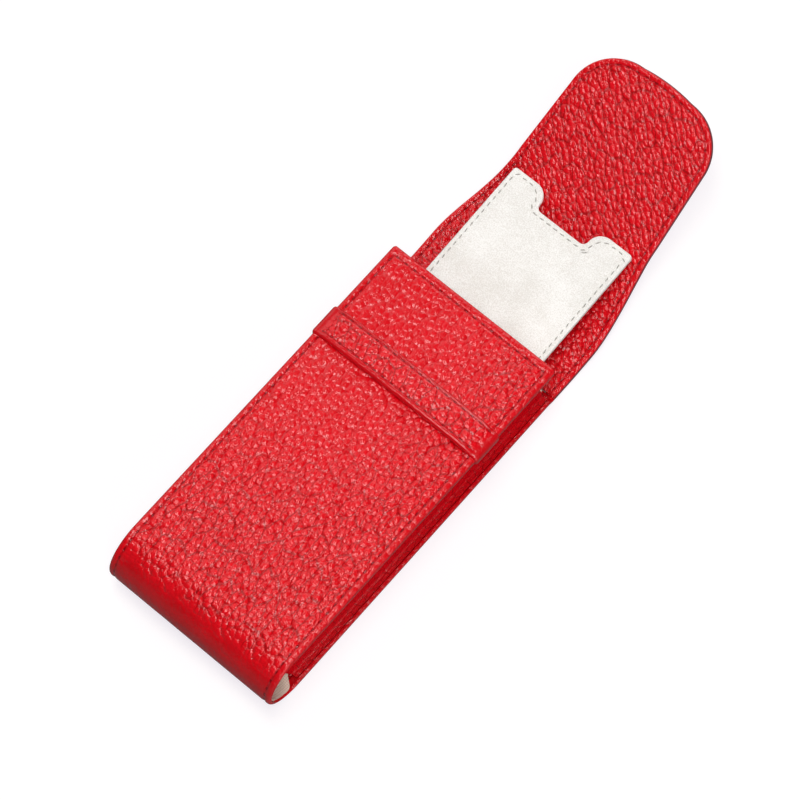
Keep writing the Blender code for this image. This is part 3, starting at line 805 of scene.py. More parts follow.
# %% Outer cover
COVER_LEATHER = 0.0011
SPAN_ENDS = (0.014, 0.028, 0.042)
MOUTH_EDGE_ROWS = 12
MOUTH_CORNER = 0.0012
SLOW_SWELL = 0.00022
SHORT_SWELL = 0.0001
BEND_CRINKLE = 0.00016
BORDER_CALM = 0.55
QUIET_CALM = 0.5
BEND_CALM = 0.85
BENT_FROM = (-0.2, 0.5)
BENT_TO = (2.5, 3.2)
SMOOTH_FROM = (1.1, 1.8)
SMOOTH_TO = (2.0, 2.9)
QUIET_SIDE = (-1.0, 0.6)
QUIET_RUN = (0.02, 0.11)
FACE_FROM = (0.001, 0.0045)
RIM_TURN = 0.3
CUT_FROM = -0.0025
BACK_HIDE_SHIFT = 0.3


def cover_rows(shape):
    """Runs of the cover's rows, and how deep the rolled mouth edge is at each."""
    flat_rows = np.concatenate([
        FRONT_END + np.array([0.0022, 0.0024, 0.0026, 0.0028, 0.003, 0.0032, 0.0034, 0.0037]),
        np.arange(FRONT_END + 0.0045, -PANEL_RUN - BEND_RUN, 0.0012),
        np.linspace(-PANEL_RUN - BEND_RUN, -PANEL_RUN, 44),
        np.arange(-PANEL_RUN + 0.0015, -0.003, 0.0015),
        np.linspace(-0.0025, 0.0, 6),
        np.linspace(0.001, SPAN_ENDS[0], 14),
    ])
    mouth_edge = shape[:MOUTH_EDGE_ROWS] + (FRONT_END, 0.0)
    return np.concatenate([mouth_edge, np.stack([flat_rows, np.zeros_like(flat_rows)], axis=1)])


def mix_shapes(rolled, cut, run):
    """The edge shape for each row: rolled round the panels, low in the bend, cut on the flap."""
    turn = (-run - PANEL_RUN) / BEND_RADIUS
    in_bend = smooth(turn, 0.0, RIM_TURN) * (1 - smooth(turn, math.pi - RIM_TURN, math.pi))
    depth = rolled[:, 1]
    low = np.minimum(depth, COVER_LEATHER)
    low = low + (depth - low) * (BEND_RIM_HEIGHT - COVER_LEATHER) / (RIM_HEIGHT - COVER_LEATHER)
    shapes = np.repeat(rolled[None], len(run), axis=0)
    shapes[..., 1] += (low - depth)[None] * in_bend[:, None]
    share = smooth(run, CUT_FROM, 0.0)[:, None, None]
    return shapes * (1 - share) + cut[None] * share


def cover_calm(x, run, inside, turn):
    """How calm the grain is: 0 is full pebbles, 1 is smooth leather; calm grain also gets painted shade.
    """
    border = 1 - smooth(inside, SEAM_IN_PANEL - 0.0003, SEAM_IN_PANEL + 0.0012)
    ragged = waver(x, run, 0.006, 4.0) * 0.7
    bend = smooth(turn, *SMOOTH_FROM) * (1 - smooth(turn + ragged, *SMOOTH_TO))
    quiet = smooth(-x / HALF_WIDTH, *QUIET_SIDE) * (1 - smooth(run - FRONT_END, *QUIET_RUN))
    calm = np.maximum(np.maximum(border * BORDER_CALM, quiet * QUIET_CALM), bend * BEND_CALM)
    return calm * (run < 0)


def make_cover():
    grids = []
    for rolled, cut, level in ((ROLLED_EDGE, CUT_EDGE, 0.0), (ROLLED_BACK, CUT_BACK, COVER_LEATHER)):
        run, rim = cover_rows(rolled).T
        shapes = mix_shapes(rolled, cut, run)
        inward = np.clip(run - FRONT_END, 0.0, MOUTH_CORNER)
        corner_cut = MOUTH_CORNER - np.sqrt(MOUTH_CORNER**2 - (MOUTH_CORNER - inward) ** 2)
        x = columns_between(flap_half_width(run) - corner_cut, shapes)
        depth = np.maximum(depths_between(shapes, level), rim[:, None])
        grids.append((x, np.repeat(run[:, None], x.shape[1], axis=1), depth))
    (x, run, depth), (back_x, back_run, back_depth) = grids

    distance, along = from_line(x, run, whole_seam, seam_along)
    inside = np.minimum(HALF_WIDTH - np.abs(x), run - FRONT_END)
    turn = (-run - PANEL_RUN) / BEND_RADIUS
    bent = smooth(turn, *BENT_FROM) * (1 - smooth(turn, *BENT_TO))
    face = smooth(inside, *FACE_FROM)
    swell = waver(x, run, 0.011, 1.0) * SLOW_SWELL + waver(x, run, 0.004, 2.0) * SHORT_SWELL
    crinkle = waver(x * 0.5, run * 1.6, 0.0022, 3.0) * BEND_CRINKLE * bent
    depth = depth + groove(distance) * (depth < 0.0003) + (swell + crinkle) * face * (run < 0)
    depth = np.maximum(depth, 0.0)
    calm = cover_calm(x, run, inside, turn)
    painted = (run > 0) * (depth > 0.0002) * (np.abs(x) > flap_half_width(run) - 0.0002)

    front = lay(x, run, depth)
    back = lay(back_x, back_run, back_depth)
    hide_map = np.stack([across_length(front), run], axis=-1)
    back_map = np.stack([across_length(back) + BACK_HIDE_SHIFT, back_run], axis=-1)
    seam_map = np.stack([distance, along], axis=-1)
    far = np.stack([np.full_like(distance, FAR_FROM_SEAM), along], axis=-1)
    maps = {"hide": both(hide_map, back_map), "seam": both(seam_map, far)}
    marks = {"calm": both(calm), "painted": both(painted, painted * 0.0)}
    return closed_sheet("cover_leather", front, back, cover_leather, maps, marks)


cover = make_cover()
print("Cover has", len(cover.data.polygons), "faces")

# %% [markdown]
# The cover's end past the mouth bends with the flap's first fold: it is laid along the flap's path over
# 8 mm round the fold, so it curves as leather does, with no gap. Its place is then fixed in its mesh.

# %% The cover at the first fold
def fold_ends(number):
    """The two points between which a piece turns round this fold."""
    fold = FOLD_RUNS[number]
    return [tuple(lay(0.0, fold + step, FLAP_THICKNESS).tolist()) for step in (-FOLD_REACH, FOLD_REACH)]


def blend_at(piece):
    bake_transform(piece)


blend_at(cover)
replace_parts(cover, "outer_cover")
print("First fold turns between", fold_ends(0))

# %% [markdown]
# The flap is two leathers back to back with a thin interlining, cut through and painted at the edge. The
# CAD frame cuts it at its folds, so each length can turn. Here each layer is cut half-way between two
# folds instead, and every length is laid round its own fold: the cuts lie where nothing bends.

# %% Flap leather and facing
WALL_COUNT = 5
LENGTH_STARTS = (0.0003, *SPAN_ENDS)
SHORT_ROWS = 15
TIP_ROWS = 49
FACING_HIDE_SHIFT = 0.5
FLAP_SWELL = 0.00018
FLAP_CALM = 0.35
FLAP_CALM_RIM = (0.0012, 0.003)
FLAP_FACE_FROM = (0.001, 0.004)
ROUNDED_RIM = 0.0005
BACK_RIM = ((0.0024, 0.003), (0.00155, 0.001))
PAINT_FROM = 0.0002
FACING_PAINT_FROM = 0.0009
INTERLINING_MARGIN = 0.0035
INTERLINING_DEPTHS = (0.0018, 0.0013)
INTERLINING_COLUMNS = 25
INTERLINING_ROWS = 13
INTERLINING_TIP_ROWS = 50


def flap_grid(number, shape):
    """Columns and rows of one length of the flap, with the edge's own depth at each place."""
    insets, depths = shape[:, 0], np.where(np.arange(EDGE_COUNT) < WALL_COUNT, shape[:, 1], 0.0)
    start = LENGTH_STARTS[number]
    if number < len(SPAN_ENDS):
        rows = np.linspace(start, SPAN_ENDS[number], SHORT_ROWS)
        run = rows[:, None] * np.ones(2 * EDGE_COUNT + MIDDLE_COLUMNS)
        end_depth = np.zeros(SHORT_ROWS)
    else:
        edge = TIP_HALF - insets
        reach = flap_reach(np.concatenate([-edge, edge[-1] * MIDDLE_SHARES, edge[::-1]]))
        share = np.linspace(0.0, 1.0, TIP_ROWS + 1)[:-1, None]
        long_rows = start + (reach - insets[-1] - start) * share
        run = np.concatenate([long_rows, reach[None] - insets[::-1, None]])
        end_depth = np.concatenate([np.zeros(TIP_ROWS), depths[::-1]])
    half = flap_half_width(run)
    side = half[:, :EDGE_COUNT] - insets
    middle = (half[:, EDGE_COUNT:-EDGE_COUNT] - insets[-1]) * MIDDLE_SHARES
    x = np.concatenate([-side, middle, half[:, -EDGE_COUNT:] - insets[::-1]], axis=1)
    edge_depth = np.concatenate([depths, np.zeros(MIDDLE_COLUMNS), depths[::-1]])
    return x, run, np.maximum(edge_depth[None], end_depth[:, None])


def flap_layer(name, number, is_facing, finish):
    """One leather of one length of the flap: the skin, or the facing on its inner side."""
    x, run, wall = flap_grid(number, CUT_EDGE)
    back_x, back_run, _ = flap_grid(number, CUT_BACK)
    edge_distance, _ = from_line(x, run, whole_edge)
    back_distance, _ = from_line(back_x, back_run, whole_edge)
    seam_distance, along = from_line(x, run, whole_seam, seam_along)
    rounding = np.interp(edge_distance, *CUT_EDGE[WALL_COUNT - 1 :].T)
    swell = waver(x, run, 0.009, 5.0 + is_facing) * FLAP_SWELL
    swell = swell * smooth(edge_distance, *FLAP_FACE_FROM)
    depth = np.maximum(wall, np.where(edge_distance < ROUNDED_RIM, rounding, 0.0))
    depth = depth + np.where(wall > 0, 0.0, groove(seam_distance) + swell)
    back_depth = np.interp(back_distance, *BACK_RIM)
    if is_facing:
        depth, back_depth = FLAP_THICKNESS - depth, FLAP_THICKNESS - back_depth
    front, back = lay(x, run, depth), lay(back_x, back_run, back_depth)
    hide_map = np.stack([x, run], axis=-1) + (FACING_HIDE_SHIFT if is_facing else 0.0)
    seam_map = np.stack([seam_distance, along], axis=-1)
    maps = {"hide": both(hide_map), "seam": both(seam_map, seam_map + FAR_FROM_SEAM)}
    painted = np.where(wall > (FACING_PAINT_FROM if is_facing else PAINT_FROM), 1.0, 0.0)
    calm = FLAP_CALM * (1 - smooth(edge_distance, *FLAP_CALM_RIM))
    marks = {"painted": both(painted, painted * 0.0), "calm": both(calm)}
    made = closed_sheet(name, front, back, finish, maps, marks)
    blend_at(made)
    return made


def flap_interlining(number):
    """The thin layer between the leathers, a little in from the edge; it bends with them."""
    columns = np.linspace(-1.0, 1.0, INTERLINING_COLUMNS)
    start = LENGTH_STARTS[number]
    if number < len(SPAN_ENDS):
        reach, row_count = np.full(INTERLINING_COLUMNS, SPAN_ENDS[number]), INTERLINING_ROWS
    else:
        tip_x = columns * (TIP_HALF - INTERLINING_MARGIN)
        reach, row_count = flap_reach(tip_x) - INTERLINING_MARGIN, INTERLINING_TIP_ROWS
    run = start + (reach - start) * np.linspace(0.0, 1.0, row_count)[:, None]
    x = columns * (flap_half_width(run) - INTERLINING_MARGIN)
    upper, lower = [lay(x, run, depth) for depth in INTERLINING_DEPTHS]
    made = closed_sheet("interlining_length_" + str(number), upper, lower, board_finish)
    blend_at(made)
    return made


for number in range(4):
    suffix = "root" if number == 0 else str(number)
    if number > 0:
        skin = flap_layer("flap_leather_length_" + suffix, number, False, cover_leather)
        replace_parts(skin, "flap_leather_" + suffix)
        if number == 3:
            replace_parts(skin, "flap_leather_4")
    facing = flap_layer("flap_facing_length_" + suffix, number, True, facing_leather)
    middle_layer = flap_interlining(number)
    for piece, layer in ((facing, "flap_facing_"), (middle_layer, "flap_interlining_")):
        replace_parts(piece, layer + suffix)
        if number == 3:
            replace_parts(piece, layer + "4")

# %% [markdown]
# The band is a strip across the front panel. It lies over its own lining, so it stands a little proud
# and throws a dark shadow under its lower edge, where the leather is turned under and rolled. Its ends
# wrap the panel's edges. Its grain is larger, for it comes from another part of the hide.

# %% Band
BAND_TOP_Y = MOUTH_Y - 0.028
BAND_WIDTH = 0.0115
BAND_LEATHER = 0.001
BAND_LINING = 0.0006
BAND_RISE = 0.0008
LAYER_GAP = 0.0003
BAND_PRESSED = 0.0003
BAND_STEP = BAND_LINING + LAYER_GAP + BAND_PRESSED
BAND_SEAM_X = HALF_WIDTH - 0.0045
BAND_SHOULDER_X = HALF_WIDTH - 0.0016
BAND_TUCK_X = HALF_WIDTH - 0.0024
BAND_CORNER = 0.0011
BAND_EDGE = edge_shape(
    (0.3, 0.08, 0.0, 0.02, 0.12, 0.32, 0.6, 0.9, 1.1, 1.3, 1.5, 1.75, 2.0, 2.2, 2.45, 2.8),
    (1.6, 1.5, 1.2, 0.85, 0.5, 0.22, 0.06, 0.0),
)
BAND_UNDER = edge_shape(
    (0.3, 0.4, 0.55, 0.7, 0.8, 0.85, 0.9, 1.0, 1.1, 1.3, 1.5, 1.75, 2.0, 2.2, 2.45, 2.8),
    (1.6, 1.6, 1.6, 1.6, 1.55, 1.2, 1.0),
)
BAND_SEAM_TOP = 0.0013
BAND_SEAM_LOW = 0.002
BAND_SEAM_END = HALF_WIDTH - 0.0022
BAND_SWELL = 0.00015
BAND_CALM = 0.85
BAND_CALM_EDGE = (0.001, 0.0024)
BAND_MIDDLE_ROWS = 6
BAND_SECTION_STEPS = 30
BAND_HIDE_SHIFT = 0.8


def band_lift(x):
    """How far the band bows up from the panel, most in its middle."""
    return BAND_RISE * np.maximum(0.0, 1 - (x / BAND_SEAM_X) ** 2)


def over_lining(x):
    """1 where the band lies over its own lining, easing to 0 at its shoulders."""
    return 1 - smooth(np.abs(x), BAND_SEAM_X, BAND_SHOULDER_X)


def band_section():
    """The middle of the band's leather seen from the mouth, from the left tuck to the right one."""
    side_x = HALF_WIDTH + BAND_LEATHER / 2 - BAND_PRESSED
    base = POUCH_THICKNESS + BAND_LEATHER / 2 - BAND_PRESSED
    under = POUCH_THICKNESS - RIM_HEIGHT - LAYER_GAP - BAND_LEATHER / 2
    x = np.linspace(0.0, BAND_SHOULDER_X, BAND_SECTION_STEPS)
    top = np.stack([x, base + band_lift(x) + BAND_STEP * over_lining(x)], axis=1)
    turns = np.radians(np.linspace(90.0, 0.0, 7))
    arc = np.stack([np.cos(turns), np.sin(turns)], axis=1) * BAND_CORNER
    upper = arc + (side_x - BAND_CORNER, base - BAND_CORNER)
    lower = arc[::-1] * (1.0, -1.0) + (side_x - BAND_CORNER, under + BAND_CORNER)
    tuck = np.array([(BAND_SHOULDER_X, under), (BAND_TUCK_X, under)])
    right = np.concatenate([top, upper, lower, tuck])
    return np.concatenate([right[:0:-1] * (-1.0, 1.0), right])


def loop_path(corners, step=0.0003):
    """A closed line through these corners, as evenly spaced points, and each point's place along it."""
    corners = np.array([*corners, corners[0]])
    along = along_line(corners)
    places = np.linspace(0.0, along[-1], int(along[-1] / step) + 1)
    return points_at(places, corners, along), places


band_seam, band_along = loop_path((
    (-BAND_SEAM_END, BAND_TOP_Y - BAND_SEAM_TOP),
    (BAND_SEAM_END, BAND_TOP_Y - BAND_SEAM_TOP),
    (BAND_SEAM_END, BAND_TOP_Y - BAND_WIDTH + BAND_SEAM_LOW),
    (-BAND_SEAM_END, BAND_TOP_Y - BAND_WIDTH + BAND_SEAM_LOW),
))


def make_band():
    section = band_section()
    normal = left_of(section)
    raised = over_lining(section[:, 0])
    grids = []
    for shape in (BAND_EDGE, BAND_UNDER):
        inset, depth = shape.T
        shares = np.linspace(0.0, 1.0, BAND_MIDDLE_ROWS + 2)[1:-1]
        middle = inset[-1] + (BAND_WIDTH - 2 * inset[-1]) * shares
        inward = np.concatenate([inset, middle, BAND_WIDTH - inset[::-1]])
        depth = np.concatenate([depth, np.full(BAND_MIDDLE_ROWS, depth[-1]), depth[::-1]])[:, None]
        depth = np.where(depth > BAND_LEATHER, BAND_LEATHER + (depth - BAND_LEATHER) * raised, depth)
        grids.append((BAND_TOP_Y - inward, depth))
    (y, depth), (under_y, under_depth) = grids
    x = np.repeat(section[None, :, 0], len(y), axis=0)
    run = np.repeat(y[:, None], len(section), axis=1)
    on_top = section[:, 1] > POUCH_THICKNESS
    distance, along = from_line(x, run, band_seam, band_along)
    distance = np.where(on_top, distance, FAR_FROM_SEAM)
    swell = waver(x, run, 0.006, 9.0) * BAND_SWELL * on_top
    depth = depth + np.where(depth < 0.00005, groove(distance) + swell, 0.0)

    def places(y_rows, depths):
        lift = BAND_LEATHER / 2 - depths
        shape = (len(y_rows), len(section))
        across = np.broadcast_to(section[:, 0] + normal[:, 0] * lift, shape)
        up = np.broadcast_to(section[:, 1] + normal[:, 1] * lift, shape)
        return np.stack([across, np.repeat(y_rows[:, None], len(section), axis=1), up], axis=-1)

    front, back = places(y, depth), places(under_y, under_depth)
    hide_map = np.stack([across_length(front), run], axis=-1) + BAND_HIDE_SHIFT
    seam_map = np.stack([distance, along], axis=-1)
    maps = {"hide": both(hide_map), "seam": both(seam_map, seam_map + FAR_FROM_SEAM)}
    inward = np.minimum(BAND_TOP_Y - run, run - BAND_TOP_Y + BAND_WIDTH)
    at_edge = 1 - smooth(inward, *BAND_CALM_EDGE)
    at_end = smooth(np.abs(x), BAND_SEAM_END - 0.001, BAND_SEAM_END + 0.0008)
    marks = {"calm": both(BAND_CALM * np.maximum(at_edge, at_end)), "painted": np.zeros((2, *x.shape))}
    return closed_sheet("band_strip", front, back, band_leather, maps, marks)


band = make_band()
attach(band, "pouch")
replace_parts(band, "band")

lining_x = np.linspace(-1.0, 1.0, 31) * (BAND_SEAM_X - LAYER_GAP)
lining_y = np.linspace(BAND_TOP_Y - 0.001, BAND_TOP_Y - BAND_WIDTH + 0.001, 8)
grid_x, grid_y = np.meshgrid(lining_x, lining_y)
grid_z = POUCH_THICKNESS + LAYER_GAP + band_lift(grid_x)
upper, lower = [np.stack([grid_x, grid_y, grid_z + rise], axis=-1) for rise in (BAND_LINING, 0.0)]
hide_map = np.stack([grid_x, grid_y], axis=-1)
maps = {"hide": both(hide_map), "seam": both(np.full_like(hide_map, FAR_FROM_SEAM))}
under_band = closed_sheet("band_under_layer", upper, lower, gusset_leather, maps)
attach(under_band, "pouch")
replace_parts(under_band, "band_lining")
print("Band has", len(band.data.polygons), "faces")

# %% [markdown]
# Between the panels each side is closed by a gusset: a strip of thinner, finer leather glued and sewn
# along both panels and folded inwards in a V, so that the pouch can open. At the bottom end its middle
# runs on in a loose pointed tongue, which shows in the open side of the bend. Its section is drawn as
# five corners, softened by curves, and then drawn out along the pouch.

# %% Gussets
GUSSET_LEATHER = 0.0008
FLANGE_DEPTH = 0.0018
FLANGE_OUTER_X = HALF_WIDTH - 0.0014
FOLD_X = FLANGE_OUTER_X - 0.0024
APEX_X = FOLD_X - 0.0034
TONGUE = 0.0068
FOLD_SOFTNESS = 0.0009
GUSSET_SLACK = 0.0007
GUSSET_DRAW_IN = 0.0002
GUSSET_START = BEND_Y + 0.0005


def gusset_section():
    """The folded gusset seen from the mouth, as a line of points with softened corners."""
    side, top = FLANGE_OUTER_X, POUCH_THICKNESS - FLANGE_DEPTH
    corners = (
        (side, FLANGE_DEPTH), (FOLD_X, FLANGE_DEPTH), (APEX_X, BEND_RADIUS), (FOLD_X, top), (side, top),
    )
    points = [np.array(corners[0])]
    for before, corner, after in zip(corners, corners[1:], corners[2:]):
        before, corner, after = np.array(before), np.array(corner), np.array(after)
        first = corner + (before - corner) / np.linalg.norm(before - corner) * FOLD_SOFTNESS
        last = corner + (after - corner) / np.linalg.norm(after - corner) * FOLD_SOFTNESS
        for share in np.linspace(0.0, 1.0, 7):
            points.append((1 - share) ** 2 * first + 2 * share * (1 - share) * corner + share**2 * last)
        if corner[1] < top:
            points += [last + (after - last) * share for share in (0.15, 0.3, 0.45, 0.6, 0.75)]
    points.append(np.array(corners[-1]))
    return np.array(points)


def make_gusset(name, side):
    section = gusset_section()
    normal = left_of(section) * GUSSET_LEATHER / 2
    reach = BEND_RADIUS - FLANGE_DEPTH
    start = GUSSET_START - TONGUE * np.maximum(0.0, 1 - np.abs(section[:, 1] - BEND_RADIUS) / reach)
    share = np.concatenate([np.linspace(0.0, 0.08, 8)[:-1], np.linspace(0.08, 1.0, 70)])[:, None]
    y = start + (MOUTH_Y - COVER_LEATHER - LAYER_GAP - start) * share
    x = np.repeat(section[None, :, 0], len(y), axis=0)
    z = np.repeat(section[None, :, 1], len(y), axis=0)
    free = np.clip(1 - np.abs(z - BEND_RADIUS) / reach, 0.0, 1.0)
    x = x + waver(z, y * 0.4, 0.006, 11.0 + side) * GUSSET_SLACK * free - GUSSET_DRAW_IN * free
    front = np.stack([side * (x - normal[:, 0]), y, z - normal[:, 1]], axis=-1)
    back = np.stack([side * (x + normal[:, 0]), y, z + normal[:, 1]], axis=-1)
    hide_map = np.stack([np.repeat(along_line(section)[None], len(y), axis=0), y], axis=-1)
    maps = {"hide": both(hide_map), "seam": both(np.full_like(hide_map, FAR_FROM_SEAM))}
    made = closed_sheet(name, front, back, gusset_leather, maps)
    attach(made, "pouch")
    return made


for name, side in (("left_gusset_fold", -1), ("right_gusset_fold", 1)):
    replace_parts(make_gusset(name, side), name.replace("_fold", ""))
print("Gusset section has", len(gusset_section()), "points")

# %% [markdown]
# The lining is one strip of woven cloth, glued to both boards and carried free round the bend, where it
# is cut wider. It is stretched between the panels, so it has no folds to simulate.

# %% Lining
LINING_DEPTH = 0.0027
LINING_THICKNESS = 0.0004
LINING_BEND_DEPTH = 0.0014
LINING_NARROW = FOLD_X - 0.00064
LINING_WIDE = HALF_WIDTH - 0.0008
LINING_COLUMNS = 31
LINING_PANEL_ROWS = 39
LINING_BEND_ROWS = 60
LINING_SLACK = 0.0003


def make_lining():
    turns = np.linspace(math.pi, 0.0, LINING_BEND_ROWS)
    spread = smooth(np.minimum(turns, math.pi - turns), 0.0, math.radians(20))
    bend_runs = -PANEL_RUN - turns * BEND_RADIUS
    first_run = FRONT_END + COVER_LEATHER + LAYER_GAP
    front_runs = np.linspace(first_run, bend_runs[0], LINING_PANEL_ROWS + 1)[:-1]
    back_runs = np.linspace(bend_runs[-1], -LAYER_GAP, LINING_PANEL_ROWS + 1)[1:]
    run = np.concatenate([front_runs, bend_runs, back_runs])
    wide = np.concatenate([np.zeros(LINING_PANEL_ROWS), spread, np.zeros(LINING_PANEL_ROWS)])
    half = LINING_NARROW + (LINING_WIDE - LINING_NARROW) * wide
    depth = LINING_DEPTH + (LINING_BEND_DEPTH - LINING_DEPTH) * wide
    length = run[-1] - run[0]
    area = np.sum((half[1:] + half[:-1]) * np.diff(run))
    x = half[:, None] * np.linspace(-1.0, 1.0, LINING_COLUMNS)
    run, depth = [np.repeat(row[:, None], LINING_COLUMNS, axis=1) for row in (run, depth)]
    depth = depth + np.maximum(waver(x, run, 0.008, 21.0) * LINING_SLACK * wide[:, None], 0.0)
    front, back = lay(x, run, depth + LINING_THICKNESS), lay(x, run, depth)
    maps = {"hide": both(np.stack([x, run], axis=-1))}
    return closed_sheet("lining_cloth", front, back, lining_cloth, maps), length, area


lining, lining_length, lining_area = make_lining()
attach(lining, "pouch")
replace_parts(lining, "lining")
print("Lining has", len(lining.data.polygons), "faces, is", round(lining_length * 1000, 1), "mm long")

# %% [markdown]
# The divider card keeps what is carried off the leather. A stiff board lies between two skins of off-white
# suede, which meet at the edge and are sewn together. Each end has two ears and a notch. Its outline is
# given as rings, one inside the other; the outer rings turn down over the edge, the last one is filled.

# %% Divider card
CARD_LENGTH = 0.105
CARD_HALF = 0.0243
CARD_THICKNESS = 0.0022
CARD_TILT = 0.101608
CARD_FOOT = Vector((0.0, 0.0132916, 0.0034))
NOTCH_DEPTH = 0.007
NOTCH_WALL = 0.01
NOTCH_RADIUS = 0.002
NOTCH_SHOULDER = 0.005
EAR_CORNER = 0.0012
CARD_SEAM_IN = 0.0016
CARD_PITCH = 0.0028
CARD_THREAD_SINK = 0.0001
SKIN_RINGS = (
    (0.0, 1.1), (0.0, 1.4), (0.0, 1.7), (0.06, 1.93), (0.2, 2.1), (0.42, 2.19), (0.7, 2.2), (1.3, 2.17),
    (1.6, 2.1), (1.9, 2.17), (2.4, 2.2),
)
SKIN_BACK_RINGS = ((2.5, 1.1), (2.6, 1.7))
card_place = Matrix.Translation(CARD_FOOT) @ Matrix.Rotation(CARD_TILT, 4, "X")


def card_outline(margin):
    """The card from above, this far inside its edge; always the same number of points."""
    half, end = CARD_HALF - margin, CARD_LENGTH / 2 - margin
    floor = CARD_LENGTH / 2 - NOTCH_DEPTH - margin
    wall = NOTCH_WALL + margin
    shoulder = min(NOTCH_SHOULDER, NOTCH_DEPTH - NOTCH_RADIUS, (half - EAR_CORNER - wall) / 2)
    quarter = []
    for centre, radius, first, last, steps in (
        ((half - EAR_CORNER, end - EAR_CORNER), EAR_CORNER, 0, 90, 6),
        ((wall + shoulder, end - shoulder), shoulder, 90, 180, 14),
        ((wall - NOTCH_RADIUS, floor + NOTCH_RADIUS), NOTCH_RADIUS, 0, -90, 6),
    ):
        for turn in np.radians(np.linspace(first, last, steps + 1)):
            quarter.append((centre[0] + radius * math.cos(turn), centre[1] + radius * math.sin(turn)))
    upper = np.array(quarter + [(-x, y) for x, y in quarter[::-1]])
    return np.concatenate([upper, -upper])


def card_skin(name, is_front):
    """One skin of the card, from the ring nearest its middle, over the edge, to its back."""
    bm = bmesh.new()
    rings = []
    for margin, height in [*SKIN_RINGS[::-1], *SKIN_BACK_RINGS]:
        height = height / 1000 if is_front else CARD_THICKNESS - height / 1000
        places = [(x, y + CARD_LENGTH / 2, height) for x, y in card_outline(margin / 1000)]
        rings.append([bm.verts.new(card_place @ Vector(place)) for place in places])
    for ring, following in zip(rings, rings[1:]):
        for index, point in enumerate(ring):
            after = (index + 1) % len(ring)
            bm.faces.new((point, ring[after], following[after], following[index]))
    ends = [bm.faces.new(rings[0]), bm.faces.new(rings[-1])]
    bmesh.ops.triangulate(bm, faces=ends)
    mesh = bpy.data.meshes.new(name)
    bm.to_mesh(mesh)
    bm.free()
    made = weld(name, mesh, suede, sharp_angle=60)
    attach(made, "divider")
    return made


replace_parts(card_skin("divider_front_skin", True), "divider_front")
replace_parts(card_skin("divider_back_skin", False), "divider_back")
print("Card outline has", len(card_outline(0.0)), "points")

# %% [markdown]
# Stitches repeat along a path, so a Geometry Nodes tree makes them. It takes a line of points that carry
# the direction in which the surface looks, lays one small rounded thread at each step of the pitch, and
# turns it along the row. The result is turned into a plain mesh, one for each body that carries it.

# %% Stitch tree
THREAD_WIDTH = 0.00046
THREAD_SHARE = 0.66
THREAD_SINK = 0.00024
THREAD_SLANT = 0.1
SLANT_JITTER = 0.05


def make_stitch_tree():
    tree = bpy.data.node_groups.new("stitch_row", "GeometryNodeTree")
    sockets = {
        "Geometry": "Geometry", "Count": "Int", "Length": "Float", "Width": "Float", "Slant": "Float",
        "Seed": "Int", "Thread": "Material",
    }
    for title, kind in sockets.items():
        tree.interface.new_socket(title, in_out="INPUT", socket_type="NodeSocket" + kind)
    tree.interface.new_socket("Geometry", in_out="OUTPUT", socket_type="NodeSocketGeometry")
    given = tree.nodes.new("NodeGroupInput").outputs

    def step(kind, inputs=None, index=0, **options):
        return wire(tree, kind, inputs, **options).outputs[index]

    row = step("GeometryNodeMeshToCurve", {0: given["Geometry"]})
    row = step("GeometryNodeResampleCurve", {"Curve": row, "Count": given["Count"]})
    ahead = step("GeometryNodeInputTangent")
    up = step("GeometryNodeInputNamedAttribute", {"Name": "up"}, data_type="FLOAT_VECTOR")
    axes = {"primary_axis": "X", "secondary_axis": "Z"}
    along_row = step("FunctionNodeAxesToRotation", {0: ahead, 1: up}, **axes)
    spread = {2: -SLANT_JITTER, 3: SLANT_JITTER, "Seed": given["Seed"]}
    jitter = step("FunctionNodeRandomValue", spread, index=1, data_type="FLOAT")
    slant = step("ShaderNodeMath", {0: given["Slant"], 1: jitter}, operation="ADD")
    twist = step("FunctionNodeEulerToRotation", {0: step("ShaderNodeCombineXYZ", {2: slant})})
    turned = step("FunctionNodeRotateRotation", {0: along_row, 1: twist}, rotation_space="LOCAL")
    thread = step("GeometryNodeMeshUVSphere", {"Segments": 10, "Rings": 7, "Radius": 0.5})
    size = step("ShaderNodeCombineXYZ", {0: given["Length"], 1: given["Width"], 2: given["Width"]})
    sized = step("GeometryNodeTransform", {"Geometry": thread, "Scale": size})
    inputs = {"Points": row, "Instance": sized, "Rotation": turned}
    real = step("GeometryNodeRealizeInstances", {0: step("GeometryNodeInstanceOnPoints", inputs)})
    done = step("GeometryNodeSetMaterial", {"Geometry": real, "Material": given["Thread"]})
    tree.links.new(done, tree.nodes.new("NodeGroupOutput").inputs[0])
    return tree


stitch_tree = make_stitch_tree()
stitch_inputs = [item for item in stitch_tree.interface.items_tree if item.in_out == "INPUT"]
stitch_sockets = {item.name: item.identifier for item in stitch_inputs}
print("Stitch tree inputs:", list(stitch_sockets))


def stitch_row(places, ups, count, thread, seed):
    """The mesh of one sewn row through these places."""
    mesh = bpy.data.meshes.new("stitch_guide")
    edges = [(index, index + 1) for index in range(len(places) - 1)]
    mesh.from_pydata(places.tolist(), edges, [])
    mark = mesh.attributes.new("up", "FLOAT_VECTOR", "POINT")
    mark.data.foreach_set("vector", np.ravel(ups))
    guide = add_object("stitch_guide", mesh)
    rows = guide.modifiers.new("stitches", "NODES")
    rows.node_group = stitch_tree
    length = float(np.linalg.norm(np.diff(places, axis=0), axis=1).sum() / (count - 1) * THREAD_SHARE)
    values = {"Count": count, "Length": length, "Width": THREAD_WIDTH, "Slant": THREAD_SLANT}
    values.update({"Seed": seed, "Thread": thread})
    for title, value in values.items():
        rows[stitch_sockets[title]] = value
    bpy.context.view_layer.update()
    evaluated = guide.evaluated_get(bpy.context.evaluated_depsgraph_get())
    made = bpy.data.meshes.new_from_object(evaluated)
    bpy.data.objects.remove(guide, do_unlink=True)
    return made


